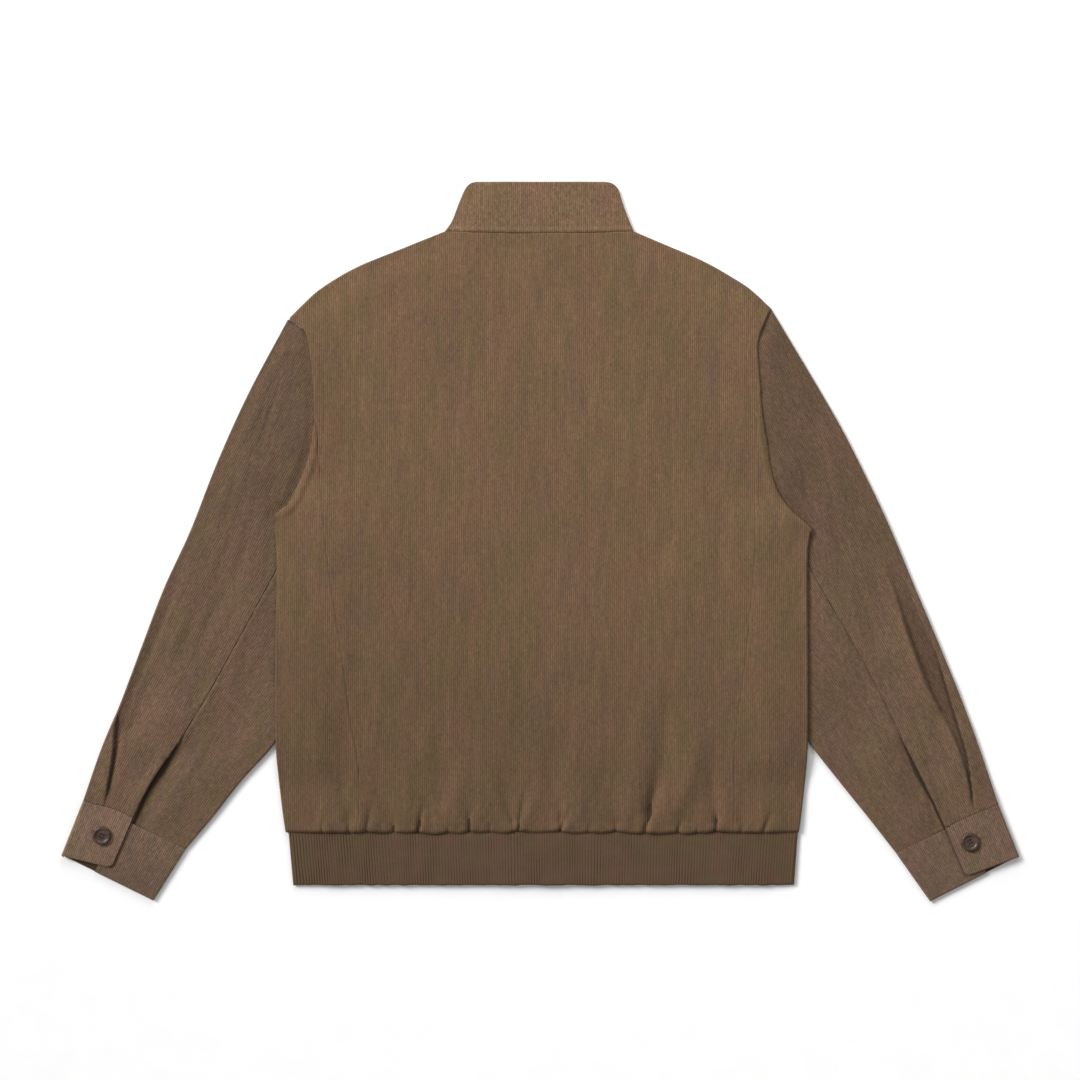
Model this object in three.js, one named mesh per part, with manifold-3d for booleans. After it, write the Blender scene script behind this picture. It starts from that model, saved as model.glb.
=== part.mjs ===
// A stand-collar corduroy blouson that lies flat on its front, back up, with its sleeves spread.
// Millimetres, +Z up. X runs across the jacket and Y from the hem to the collar. The origin is on the
// floor under the middle of the jacket. Left and right are as seen from above.
import * as THREE from "three";
import Module from "manifold-3d";
import { mergeVertices } from "three/addons/utils/BufferGeometryUtils.js";

// Walls, gaps and heights
const CLOTH = 2.0; // corduroy wall
const SEAM = 0.3; // gap between two pieces that are sewn together
const FOLD = 2.3; // outer radius of a folded edge
const EDGE_TOP = 2 * FOLD; // height of the two walls at a fold
const BACK_TOP = 7.2; // height of the back's face where it lies on the fronts
const SLEEVE_TOP = 6.6; // height of a sleeve's face along its middle
const LIFT = 5.0; // how far a sleeve that lies underneath lifts the body's sides
const FRONT_EDGE = 6; // half of the slot between the two fronts, where the zip runs
const SHOULDER_INSET = 3.2; // the shoulder seam lies this far under the shoulder's fold
const SHOULDER_SLANT = 0.88; // mean share of a height below the shoulder that is square to its fold
const SLIDER_RISE = 0.9; // how far the back stands up over the zip's slider

// Body
const HEM = -304; // seam between body and waistband
const NECK = 323.5; // back neck seam at its two ends
const NECK_DIP = 2.2; // how much lower that seam is at the centre back
const NECK_HALF = 99; // half of that seam's length
const SIDE_EDGE = 278; // half of the body's width at the side folds

// Waistband of rib knit
const BAND_BOTTOM = -359;
const BAND_TOP = 5.9; // height of its upper face
const RIB_PITCH = 2.92;
const RIB_RISE = 0.5;

// Stand collar
const COLLAR_HEIGHT = 52.5;
const FRONT_NECK = 258; // front neck seam at the centre front
const COLLAR_TOP = 7.4;
const COLLAR_TURN = { seam: [80, 262], edge: [48, 316] }; // its front halves curve round these points

// Cuffs, whose tab lies over the other end of the cuff
const CUFF_LEVEL = { under: 1.0, lap: 3.4, tab: 5.8 }; // mid-height of each wall
const LAP_END = 0.36; // the under end stops at this share of the cuff's width
const CUFF_GAP = 0.5;
const BUTTON = { radius: 9.6, thick: 3.0, holeAt: 2.1, hole: 0.9 };

// Zip
const CHAIN = { half: 3, bottom: 3.5, top: 4.7, from: -357, to: 296.2 };
const TAPE = { reach: 20, flat: 8, thick: 0.6 };
const SLIDER = { half: 4.4, from: 286.5, to: 300, slotEnd: 296.6, bottom: 2.65, plate: 0.55, top: 5.55 };
const CROWN = { half: 1.1, wall: 0.5, hole: 2.0, y: 291.5 };
const PULL = {
  width: 7, length: 30, thick: 1.0, taper: 0.8, round: 2, slotHalf: 1.6, slotLength: 4,
};

// Outline of each side of the body, from the hem up. x is the distance from the centre line.
// edge: the side fold. armhole: from the underarm to the shoulder point. shoulder: up to the neck.
// seam: the side seam, which lies on the back and runs from the hem into the armhole.
const SIDES = {
  left: {
    sign: -1,
    edge: [
      { y: -304, x: 266 }, { y: -283, x: 269 }, { y: -249, x: 273 }, { y: -209, x: 276 },
      { y: -104, x: 276 }, { y: -22, x: 275 }, { y: 27, x: 277 },
    ],
    armhole: [
      { y: 27, x: 277 }, { y: 33, x: 270 }, { y: 40, x: 262 }, { y: 59, x: 253 }, { y: 81, x: 244 },
      { y: 110, x: 238 }, { y: 138, x: 236 }, { y: 164, x: 237 }, { y: 192, x: 240 },
      { y: 215, x: 244 }, { y: 222, x: 248 }, { y: 227, x: 255 }, { y: 231, x: 264 },
    ],
    shoulder: [
      { y: 231, x: 264 }, { y: 248, x: 247 }, { y: 264, x: 229 }, { y: 286, x: 192 },
      { y: 305, x: 146 }, { y: 323.5, x: 100 },
    ],
    seam: [
      { y: -304, x: 191 }, { y: -261, x: 188 }, { y: -223, x: 191 }, { y: -185, x: 198 },
      { y: -130, x: 205 }, { y: -72, x: 214 }, { y: -24, x: 221 }, { y: 22, x: 226 },
      { y: 74, x: 230 }, { y: 138, x: 236 },
    ],
    collar: [
      { up: 0, x: 100 }, { up: 0.2, x: 92.8 }, { up: 0.55, x: 85.5 }, { up: 0.9, x: 77.5 },
      { up: 1, x: 70 },
    ],
    wrapColumns: [1, 0.74, 0.5, 0.3, 0.11, 0],
  },
  right: {
    sign: 1,
    edge: [
      { y: -304, x: 270 }, { y: -290, x: 272 }, { y: -244, x: 277 }, { y: -207, x: 279 },
      { y: -113, x: 279 }, { y: -9, x: 279 }, { y: 12, x: 283 },
    ],
    armhole: [
      { y: 12, x: 283 }, { y: 20, x: 276 }, { y: 32, x: 262 }, { y: 52, x: 248 }, { y: 80, x: 240 },
      { y: 102, x: 237 }, { y: 132, x: 232 }, { y: 156, x: 230 }, { y: 184, x: 228 },
      { y: 204, x: 227 }, { y: 218, x: 230 }, { y: 230, x: 235 }, { y: 243, x: 241 },
    ],
    shoulder: [
      { y: 243, x: 241 }, { y: 264, x: 218 }, { y: 280, x: 193 }, { y: 294, x: 167 },
      { y: 309, x: 132 }, { y: 323.5, x: 98 },
    ],
    seam: [
      { y: -304, x: 201 }, { y: -268, x: 202 }, { y: -225, x: 202 }, { y: -190, x: 205 },
      { y: -152, x: 210 }, { y: -102, x: 216 }, { y: -57, x: 220 }, { y: -20, x: 223 },
      { y: 33, x: 224 }, { y: 106, x: 225 }, { y: 156, x: 230 },
    ],
    collar: [
      { up: 0, x: 98 }, { up: 0.2, x: 93.5 }, { up: 0.55, x: 86.5 }, { up: 0.9, x: 80 },
      { up: 1, x: 70 },
    ],
    wrapColumns: [1, 0.75, 0.6, 0.48, 0.25, 0],
  },
};

// Heights at which both sides of the body have a section, as shares of three stretches
const BELOW_ARM = [0, 0.012, 0.035, 0.07, 0.125, 0.21, 0.32, 0.44, 0.56, 0.68, 0.79, 0.88, 0.955];
const ARMHOLE = [0, 0.03, 0.1, 0.2, 0.32, 0.44, 0.56, 0.69, 0.81, 0.9, 0.955, 0.98, 1];
const SHOULDER = [0.12, 0.25, 0.4, 0.56, 0.72, 0.87, 1];
const FRONT_NECK_STEPS = [1, 0.82, 0.64, 0.47, 0.3, 0.15, 0.05];

// Gathers where the back is eased onto the waistband: x at the seam, its lean to one side at its
// upper end, its length up the back and its depth
const GATHERS = [
  { x: -227, lean: 0, length: 16, depth: 1.4 },
  { x: -199, lean: 0, length: 16, depth: 1.4 },
  { x: -176, lean: 8, length: 30, depth: 1.8 },
  { x: -128, lean: 5, length: 28, depth: 1.9 },
  { x: -74, lean: 0, length: 26, depth: 1.7 },
  { x: -25, lean: 4, length: 42, depth: 1.7 },
  { x: 20, lean: 11, length: 30, depth: 1.6 },
  { x: 78, lean: 1, length: 12, depth: 1.4 },
  { x: 109, lean: 10, length: 44, depth: 2.2 },
  { x: 143, lean: 3, length: 14, depth: 1.7 },
  { x: 180, lean: 1, length: 16, depth: 1.6 },
  { x: 233, lean: 7, length: 30, depth: 1.6 },
];
const GATHER_HALF = 11; // half of a gather's width
const GATHER_DRAW = 1.5; // how far each gather draws the hem up
const HEM_SAG = 2; // how far the cloth between two gathers hangs over the waistband
const PUFF = 0.6; // how far the cloth stands up between two gathers
const PUFF_REACH = 46; // and how far up the back that goes

// Broad soft troughs and ridges over the waist: centre, half width, half length and height
const SWELLS = [
  { x: -197, y: -186, wide: 14, long: 60, rise: -0.6 },
  { x: -105, y: -233, wide: 15, long: 60, rise: -0.7 },
  { x: -34, y: -223, wide: 13, long: 55, rise: -0.7 },
  { x: 17, y: -233, wide: 13, long: 50, rise: -0.7 },
  { x: 35, y: -222, wide: 10, long: 45, rise: 0.5 },
  { x: 93, y: -240, wide: 12, long: 45, rise: 0.5 },
  { x: 128, y: -207, wide: 15, long: 70, rise: -0.9 },
  { x: 156, y: -250, wide: 11, long: 45, rise: 0.5 },
  { x: 184, y: -249, wide: 12, long: 45, rise: -0.6 },
];

// Sections of each sleeve from the armhole to the cuff seam. along: share of the sleeve's length.
// outer and inner: its two folds. seam: where the back seam crosses, as a share of the way across.
const SLEEVES = {
  left: [
    { along: 0, outerX: 264, outerY: 231, innerX: 277, innerY: 27, seam: 0.97 },
    { along: 0.125, outerX: 305, outerY: 154, innerX: 272, innerY: -4, seam: 0.93 },
    { along: 0.25, outerX: 338, outerY: 81, innerX: 253, innerY: -51, seam: 0.77 },
    { along: 0.375, outerX: 365, outerY: 12, innerX: 243, innerY: -103, seam: 0.61 },
    { along: 0.5, outerX: 393, outerY: -49, innerX: 249, innerY: -157, seam: 0.53 },
    { along: 0.625, outerX: 416, outerY: -109, innerX: 276, innerY: -209, seam: 0.5 },
    { along: 0.75, outerX: 439, outerY: -170, innerX: 312, innerY: -250, seam: 0.49 },
    { along: 0.875, outerX: 459, outerY: -218, innerX: 342, innerY: -288, seam: 0.465 },
    { along: 1, outerX: 477, outerY: -270, innerX: 368, innerY: -322, seam: 0.49 },
  ],
  right: [
    { along: 0, outerX: 241, outerY: 243, innerX: 283, innerY: 12, seam: 0.97 },
    { along: 0.125, outerX: 305, outerY: 135, innerX: 273, innerY: -15, seam: 0.92 },
    { along: 0.25, outerX: 336, outerY: 76, innerX: 253, innerY: -53, seam: 0.72 },
    { along: 0.375, outerX: 364, outerY: 17, innerX: 243, innerY: -106, seam: 0.57 },
    { along: 0.5, outerX: 392, outerY: -50, innerX: 249, innerY: -160, seam: 0.48 },
    { along: 0.625, outerX: 417, outerY: -109, innerX: 279, innerY: -208, seam: 0.47 },
    { along: 0.75, outerX: 441, outerY: -168, innerX: 313, innerY: -252, seam: 0.49 },
    { along: 0.875, outerX: 460, outerY: -220, innerX: 342, innerY: -288, seam: 0.5 },
    { along: 1, outerX: 478, outerY: -274, innerX: 371, innerY: -325, seam: 0.52 },
  ],
};

// The pleat above each cuff: its two edges as shares of the way across the sleeve, and its depth
const PLEATS = {
  left: [
    { along: 0, near: 0.16, far: 0.09, depth: 0 },
    { along: 0.25, near: 0.14, far: 0.08, depth: 0 },
    { along: 0.5, near: 0.1, far: 0.06, depth: 0 },
    { along: 0.625, near: 0.08, far: 0.045, depth: 0.8 },
    { along: 0.75, near: 0.09, far: 0.05, depth: 2.2 },
    { along: 0.875, near: 0.175, far: 0.135, depth: 2.2 },
    { along: 1, near: 0.225, far: 0.2, depth: 1.4 },
  ],
  right: [
    { along: 0, near: 0.2, far: 0.12, depth: 0 },
    { along: 0.25, near: 0.2, far: 0.11, depth: 0 },
    { along: 0.5, near: 0.18, far: 0.08, depth: 0.3 },
    { along: 0.625, near: 0.16, far: 0.06, depth: 1.6 },
    { along: 0.75, near: 0.155, far: 0.09, depth: 2.4 },
    { along: 0.875, near: 0.16, far: 0.13, depth: 2.2 },
    { along: 1, near: 0.25, far: 0.23, depth: 1.4 },
  ],
};
const SLEEVE_STEPS = [
  0, 0.05, 0.11, 0.17, 0.24, 0.31, 0.38, 0.45, 0.52, 0.59, 0.66, 0.72, 0.77, 0.82, 0.88, 0.94, 1,
];
const SLIT = { starts: 0.74, overlap: 6, drop: 2.45, lip: 0.5 }; // the opening above each cuff
const FRONT_SEAM = 0.72; // where the sleeve's other seam crosses its hidden side
const SEAM_AT_UNDERARM = 0.985; // and where that seam leaves the armhole
const UNDER_STARTS = 0.24; // the under sleeve starts this far along, beneath the body's side
const HIDDEN_STRIP = 46; // width of the sleeve beside its inner fold that stays flat under the body
const ARMHOLE_GAP = 0.45; // the sleeve stays this far outside the armhole's line
const PLEAT_BANK = 0.045; // width of the cloth that stands up beside the pleat, as a share across
const PLEAT_RISE = 0.7; // how much of the pleat's depth it stands up

// Hem of each cuff: its two folded corners and the free corner of its tab, then the button's centre
const CUFFS = {
  left: { outer: [500, -328], inner: [404, -375], tab: [447, -341], rise: 6.5, button: [457, -307] },
  right: { outer: [500, -329], inner: [407, -376], tab: [444, -350], rise: 2, button: [448, -315] },
};

const COLORS = {
  back: 0x765b46,
  sleeve: 0x6b5744,
  collar: 0x7c644f,
  rib: 0x5b4838,
  button: 0x4a342c,
  tape: 0x4a3a2e,
  brass: 0x9a7b45,
};
const CLOTH_ROUGHNESS = 0.95;
const BRASS_ROUGHNESS = 0.35;
const BRASS_METALNESS = 0.9;

// Curves
const lerp = (a, b, t) => a + (b - a) * t;
const mix = (p, q, t) => p.map((value, axis) => lerp(value, q[axis], t));

function smooth(from, to, value) {
  const t = Math.min(Math.max((value - from) / (to - from), 0), 1);
  return t * t * (3 - 2 * t);
}

function hump(value, half) {
  return Math.exp(-((value / half) ** 2));
}

// A smooth curve through a table, of one column over another that rises down the table
function curve(rows, key, column) {
  const x = rows.map((row) => row[key]);
  const y = rows.map((row) => row[column]);
  const last = rows.length - 1;
  const slopes = x.map((_, i) => {
    const a = Math.max(i - 1, 0);
    const b = Math.min(i + 1, last);
    return (y[b] - y[a]) / (x[b] - x[a]);
  });
  return (at) => {
    let i = 0;
    while (i < last - 1 && at > x[i + 1]) i += 1;
    const span = x[i + 1] - x[i];
    const t = Math.min(Math.max((at - x[i]) / span, 0), 1);
    const s = t * t * (3 - 2 * t);
    const start = t * (1 - t) ** 2 * span * slopes[i];
    const end = t * t * (t - 1) * span * slopes[i + 1];
    return lerp(y[i], y[i + 1], s) + start + end;
  };
}

function straight(rows, key, column) {
  return (at) => {
    let i = 0;
    while (i < rows.length - 2 && at > rows[i + 1][key]) i += 1;
    const t = (at - rows[i][key]) / (rows[i + 1][key] - rows[i][key]);
    return lerp(rows[i][column], rows[i + 1][column], Math.min(Math.max(t, 0), 1));
  };
}

// A sheet of cloth with an outer and an inner face, closed by a rim along its edges
class Sheet {
  constructor() {
    this.outer = [];
    this.inner = [];
    this.quads = [];
  }

  point(outer, inner) {
    this.outer.push(outer);
    this.inner.push(inner);
    return this.outer.length - 1;
  }

  // Adds the quads between neighbouring rows of point numbers
  weave(rows) {
    for (let j = 0; j + 1 < rows.length; j += 1) {
      for (let i = 0; i + 1 < rows[j].length; i += 1) {
        this.quads.push([rows[j][i], rows[j][i + 1], rows[j + 1][i + 1], rows[j + 1][i]]);
      }
    }
  }

  geometry() {
    const count = this.outer.length;
    const faces = [];
    const edges = new Map();
    for (const [a, b, c, d] of this.quads) {
      faces.push([a, b, c], [a, c, d]);
      faces.push([a + count, c + count, b + count], [a + count, d + count, c + count]);
      for (const [from, to] of [[a, b], [b, c], [c, d], [d, a]]) edges.set(`${from},${to}`, [from, to]);
    }
    for (const [from, to] of edges.values()) {
      if (!edges.has(`${to},${from}`)) {
        faces.push([to, from, from + count], [to, from + count, to + count]);
      }
    }
    const points = [...this.outer, ...this.inner];
    const volume = faces.reduce((sum, face) => {
      const [p, q, r] = face.map((index) => new THREE.Vector3(...points[index]));
      return sum + p.dot(q.cross(r));
    }, 0);
    const geometry = new THREE.BufferGeometry();
    geometry.setAttribute("position", new THREE.Float32BufferAttribute(points.flat(), 3));
    geometry.setIndex(faces.flatMap((face) => (volume < 0 ? [...face].reverse() : face)));
    geometry.computeVertexNormals();
    return geometry;
  }
}

const group = new THREE.Group();

function add(name, geometry, color, roughness = CLOTH_ROUGHNESS, metalness = 0) {
  const material = new THREE.MeshStandardMaterial({ color, roughness, metalness });
  const mesh = new THREE.Mesh(geometry, material);
  mesh.name = name;
  group.add(mesh);
  return mesh;
}

// Outer and inner distance from an edge and height, at one angle round a folded edge.
// At 90 degrees the wall is on top, at 0 it faces outward and at -90 it lies underneath.
function foldAt(degrees, outerRadius = FOLD, centre = FOLD, wall = CLOTH) {
  const angle = THREE.MathUtils.degToRad(degrees);
  return [outerRadius, outerRadius - wall].map((radius) => ({
    inset: outerRadius - radius * Math.cos(angle),
    z: centre + radius * Math.sin(angle),
  }));
}

for (const side of Object.values(SIDES)) {
  side.edgeAt = curve(side.edge, "y", "x");
  side.armholeAt = curve(side.armhole, "y", "x");
  side.shoulderAt = curve(side.shoulder, "y", "x");
  side.seamAt = curve(side.seam, "y", "x");
  side.collarAt = curve(side.collar, "up", "x");
  side.tip = side.armhole[0].y;
  side.point = side.shoulder[0].y;
  side.join = side.seam[side.seam.length - 1].y;
  side.shoulderRise = straight([...side.shoulder].reverse(), "x", "y");
  side.heights = [
    ...BELOW_ARM.map((share) => lerp(HEM, side.tip, share)),
    ...ARMHOLE.map((share) => lerp(side.tip, side.point, share)),
  ];
}

const sideOf = (x) => (x < 0 ? SIDES.left : SIDES.right);

// The hem of the back: each gather draws the seam up a little, and the cloth between hangs over it
const backGathers = GATHERS.filter(({ x }) => Math.abs(x) < 190);
const hemNodes = backGathers.flatMap(({ x }, i) => {
  const next = backGathers[i + 1];
  const gathered = { x, y: HEM + GATHER_DRAW };
  return next ? [gathered, { x: (x + next.x) / 2, y: HEM - HEM_SAG }] : [gathered];
});
hemNodes.unshift({ x: -SIDES.left.seam[0].x, y: HEM });
hemNodes.push({ x: SIDES.right.seam[0].x, y: HEM });
const hemAt = straight(hemNodes, "x", "y");
const neckAt = (x) => NECK - NECK_DIP * (1 - Math.min((x / NECK_HALF) ** 2, 1));

// How far the cloth is lifted where a sleeve lies under the body's side
function liftAt(x, y) {
  const { tip } = sideOf(x);
  const along = smooth(-262, -216, y) * (1 - smooth(tip + 2, tip + 42, y));
  return LIFT * along * (1 - smooth(38, 100, SIDE_EDGE - Math.abs(x)));
}

function gatherAt(x, y) {
  const up = y - HEM;
  let rise = 0;
  let pull = 0;
  for (const { x: foot, lean, length, depth } of GATHERS) {
    const away = Math.abs(x - foot - lean * Math.min(up / length, 1.2));
    const notch = Math.max(1 - away / GATHER_HALF, 0);
    rise -= depth * notch * (1 - smooth(length * 0.35, length * 1.1, up));
    pull = Math.max(pull, notch);
  }
  return rise + PUFF * (1 - pull) * (1 - smooth(PUFF_REACH / 2, PUFF_REACH, up));
}

// Height of the outer face of the body's upper layer
function bodyTop(x, y) {
  const side = sideOf(x);
  const beside = SIDE_EDGE - Math.abs(x);
  const sideDrop = (1 - smooth(side.tip - 15, side.tip + 30, y)) * (1 - smooth(0, 45, beside));
  const below = (side.shoulderRise(Math.abs(x)) - y) * SHOULDER_SLANT;
  const neckEnd = side.shoulder[side.shoulder.length - 1].x;
  const shoulderDrop = Math.abs(x) < neckEnd ? 0 : 1 - smooth(2, 32, below);
  const drop = (BACK_TOP - EDGE_TOP) * Math.max(sideDrop, shoulderDrop);
  const overSlider = SLIDER_RISE * hump(x, 22) * hump(y - CROWN.y, 26);
  let swell = 0;
  for (const s of SWELLS) swell += s.rise * hump(x - s.x, s.wide) * hump(y - s.y, s.long);
  return BACK_TOP - drop + liftAt(x, y) + gatherAt(x, y) + swell + overSlider;
}

// Moves a point of the back near its hem or neck onto the seam there
function seamShift(x, level) {
  const nearHem = 1 - smooth(HEM, HEM + 30, level);
  return (hemAt(x) - HEM) * nearHem + (neckAt(x) - NECK) * smooth(NECK - 33, NECK, level);
}

// Direction into the body, square to the shoulder's fold, and how long the fold is for each mm of height
function shoulderRun(side, y) {
  const [low, high] = [Math.max(y - 4, side.point), Math.min(y + 4, NECK)];
  const run = side.shoulderAt(high) - side.shoulderAt(low);
  const rise = high - low;
  const length = Math.hypot(run, rise);
  return { inward: [(-side.sign * rise) / length, run / length], stretch: length / rise };
}

// Back
function backEdge(side, y) {
  if (y <= side.join) return side.seamAt(y);
  return y <= side.point ? side.armholeAt(y) : side.shoulderAt(y);
}

const SEWN_INSETS = [SEAM / 2, 1.5, 4, 8]; // columns beside a sewn edge
const SHOULDER_ANGLES = [-60, 0, 50, 90]; // columns round the shoulder's fold

function backEdgePoint(side, y, column) {
  const x = backEdge(side, y);
  const sewnX = side.sign * (x - SEWN_INSETS[column]);
  const top = bodyTop(sewnX, y);
  const level = y <= side.point ? y + seamShift(sewnX, y) : y;
  const sewn = [[sewnX, level, top], [sewnX, level, top - CLOTH]];
  const folded = smooth(side.point, side.point + 10, y);
  if (folded === 0) return sewn;
  const { inward } = shoulderRun(side, y);
  const degrees = lerp(90, SHOULDER_ANGLES[column], smooth(side.point, side.point + 22, y));
  const round = foldAt(degrees).map(({ inset, z }) => [
    side.sign * x + inward[0] * inset,
    y + inward[1] * inset,
    z,
  ]);
  return sewn.map((point, face) => mix(point, round[face], folded));
}

function makeBack() {
  const sheet = new Sheet();
  const shares = hemNodes.slice(1, -1).map(({ x }) => {
    const left = -SIDES.left.seam[0].x;
    return (x - left) / (SIDES.right.seam[0].x - left);
  });
  const heights = (side) => [
    ...side.heights,
    ...SHOULDER.map((share) => lerp(side.point, NECK, share)),
  ];
  const leftHeights = heights(SIDES.left);
  const rightHeights = heights(SIDES.right);
  const rows = leftHeights.map((leftY, j) => {
    const rightY = rightHeights[j];
    const row = SEWN_INSETS.map((_, k) => backEdgePoint(SIDES.left, leftY, k));
    const leftX = -backEdge(SIDES.left, leftY);
    const rightX = backEdge(SIDES.right, rightY);
    for (const share of shares) {
      const x = lerp(leftX, rightX, share);
      const level = lerp(leftY, rightY, share);
      const y = level + seamShift(x, level);
      const z = bodyTop(x, level);
      row.push([[x, y, z], [x, y, z - CLOTH]]);
    }
    row.push(...SEWN_INSETS.map((_, k) => backEdgePoint(SIDES.right, rightY, k)).reverse());
    return row.map(([outer, inner]) => sheet.point(outer, inner));
  });
  sheet.weave(rows);
  add("back", sheet.geometry(), COLORS.back);
}

// Collar: its front half follows a curve from the side fold to the centre front
function collarFront(side, up, t) {
  const fold = [side.collarAt(up) - FOLD, lerp(NECK, NECK + COLLAR_HEIGHT, up)];
  const centre = [FRONT_EDGE, FRONT_NECK + COLLAR_HEIGHT * up];
  const turn = mix(COLLAR_TURN.seam, COLLAR_TURN.edge, up);
  const [x, y] = mix(mix(fold, turn, t), mix(turn, centre, t), t);
  return [side.sign * x, y];
}

const COLLAR_ROWS = [0, 0.2, 0.55, 0.9, 1];
const COLLAR_ANGLES = [-90, -45, 0, 45, 90];
const COLLAR_COLUMNS = 12;
const COLLAR_SETTLE = 0.6; // how much lower its face is at the upper edge

function makeCollar() {
  const sheet = new Sheet();
  const rows = COLLAR_ROWS.map((up) => {
    const top = lerp(NECK, NECK + COLLAR_HEIGHT, up);
    const seamGap = SEAM * 1.4 * (1 - up);
    const row = [];
    for (const side of [SIDES.left, SIDES.right]) {
      const half = FRONT_NECK_STEPS.map((t) => {
        const [x, y] = collarFront(side, up, t);
        return [[x, y + seamGap, 0], [x, y + seamGap, CLOTH]];
      });
      for (const degrees of COLLAR_ANGLES) {
        half.push(foldAt(degrees).map(({ inset, z }) => [
          side.sign * (side.collarAt(up) - inset), top + seamGap, z,
        ]));
      }
      if (side.sign > 0) half.reverse();
      if (side.sign > 0) {
        const from = -(SIDES.left.collarAt(up) - FOLD);
        const to = SIDES.right.collarAt(up) - FOLD;
        for (let i = 1; i < COLLAR_COLUMNS; i += 1) {
          const x = lerp(from, to, i / COLLAR_COLUMNS);
          const beside = Math.min(x - from, to - x);
          const z = lerp(EDGE_TOP, COLLAR_TOP, smooth(0, 28, beside)) - COLLAR_SETTLE * up;
          const y = top + seamGap + (neckAt(x) - NECK) * lerp(1, 0.4, up);
          row.push([[x, y, z], [x, y, z - CLOTH]]);
        }
      }
      row.push(...half);
    }
    return row.map(([outer, inner]) => sheet.point(outer, inner));
  });
  sheet.weave(rows);
  add("collar", sheet.geometry(), COLORS.collar);
}

// Fronts: each lies on the floor, folds round the side and ends at the seam on the back
const FRONT_COLUMNS = [0, 0.05, 0.25, 0.5, 0.75, 0.9, 1];
const WRAP_ANGLES = [-90, -45, 0, 45, 90];
const OPENED_ANGLES = [-30, 0, 30, 60, 90]; // just below the underarm, where the fold starts to open
const OPENS = 24; // which is this far below it
const WRAP_COLUMNS = 5;
const WRAP_START = 0.16; // share of the strip above the underarm that its first columns take
const WRAP_STOP = 22; // the strip ends this far below the side seam's end

function frontOuter(side, y) {
  if (y <= side.tip) return side.edgeAt(y) - FOLD;
  if (y <= side.point) {
    const tuck = SHOULDER_INSET * smooth(side.point - 18, side.point - 7, y);
    return side.armholeAt(y) - SEAM / 2 - tuck * 1.6;
  }
  return side.shoulderAt(y) - SHOULDER_INSET * shoulderRun(side, y).stretch;
}

function makeFront(name, side) {
  const sheet = new Sheet();
  const neckRows = FRONT_NECK_STEPS.map((t) => collarFront(side, 0, t));
  const sections = side.heights.map((y) => ({ y, from: FRONT_EDGE, to: frontOuter(side, y) }));
  for (const [x, y] of neckRows) {
    const gap = y > FRONT_NECK ? SEAM : 0;
    sections.push({ y: y - SEAM, from: Math.abs(x) + gap, to: frontOuter(side, y - SEAM) });
  }
  const lower = sections.map(({ y, from, to }) =>
    FRONT_COLUMNS.map((share) => {
      const x = side.sign * lerp(from, to, share);
      const z = liftAt(x, y);
      return sheet.point([x, y, z], [x, y, z + CLOTH]);
    }),
  );
  const upper = [];
  side.heights.forEach((y, j) => {
    if (y > side.join - WRAP_STOP) return;
    const edge = y <= side.tip ? side.edgeAt(y) : side.armholeAt(y);
    const end = side.seamAt(y) + SEAM / 2;
    const start = y < side.tip ? edge - FOLD : edge - SEAM / 2;
    const row = [];
    const opened = y > side.tip - OPENS;
    (opened ? OPENED_ANGLES : WRAP_ANGLES).forEach((degrees, k) => {
      if (y < side.tip) {
        if (k === 0 && !opened) {
          row.push(lower[j][FRONT_COLUMNS.length - 1]);
          return;
        }
        const lift = liftAt(side.sign * edge, y);
        const turned = foldAt(degrees).map(({ inset, z }) => [side.sign * (edge - inset), y, z + lift]);
        row.push(sheet.point(...turned));
        return;
      }
      const x = side.sign * lerp(start, end, (WRAP_START * k) / (WRAP_ANGLES.length - 1));
      const z = bodyTop(x, y);
      row.push(sheet.point([x, y, z], [x, y, z - CLOTH]));
    });
    for (let i = 1; i <= WRAP_COLUMNS; i += 1) {
      const across = 1 - side.wrapColumns[i];
      const share = y < side.tip ? across : lerp(WRAP_START, 1, across);
      const x = side.sign * lerp(start, end, share);
      const z = bodyTop(x, y);
      row.push(sheet.point([x, y, z], [x, y, z - CLOTH]));
    }
    upper.push(row);
  });
  sheet.weave(lower);
  sheet.weave(upper);
  add(name, sheet.geometry(), COLORS.back);
}

// Waistband: a flattened tube of rib knit, open at the centre front
const BAND_SIDES = { left: { seam: 263, hem: 258 }, right: { seam: 269, hem: 265 } };
const BAND_UNDER = [0, 0.2, 0.4, 0.6, 0.8]; // its columns on the front, as shares of each half

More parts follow.
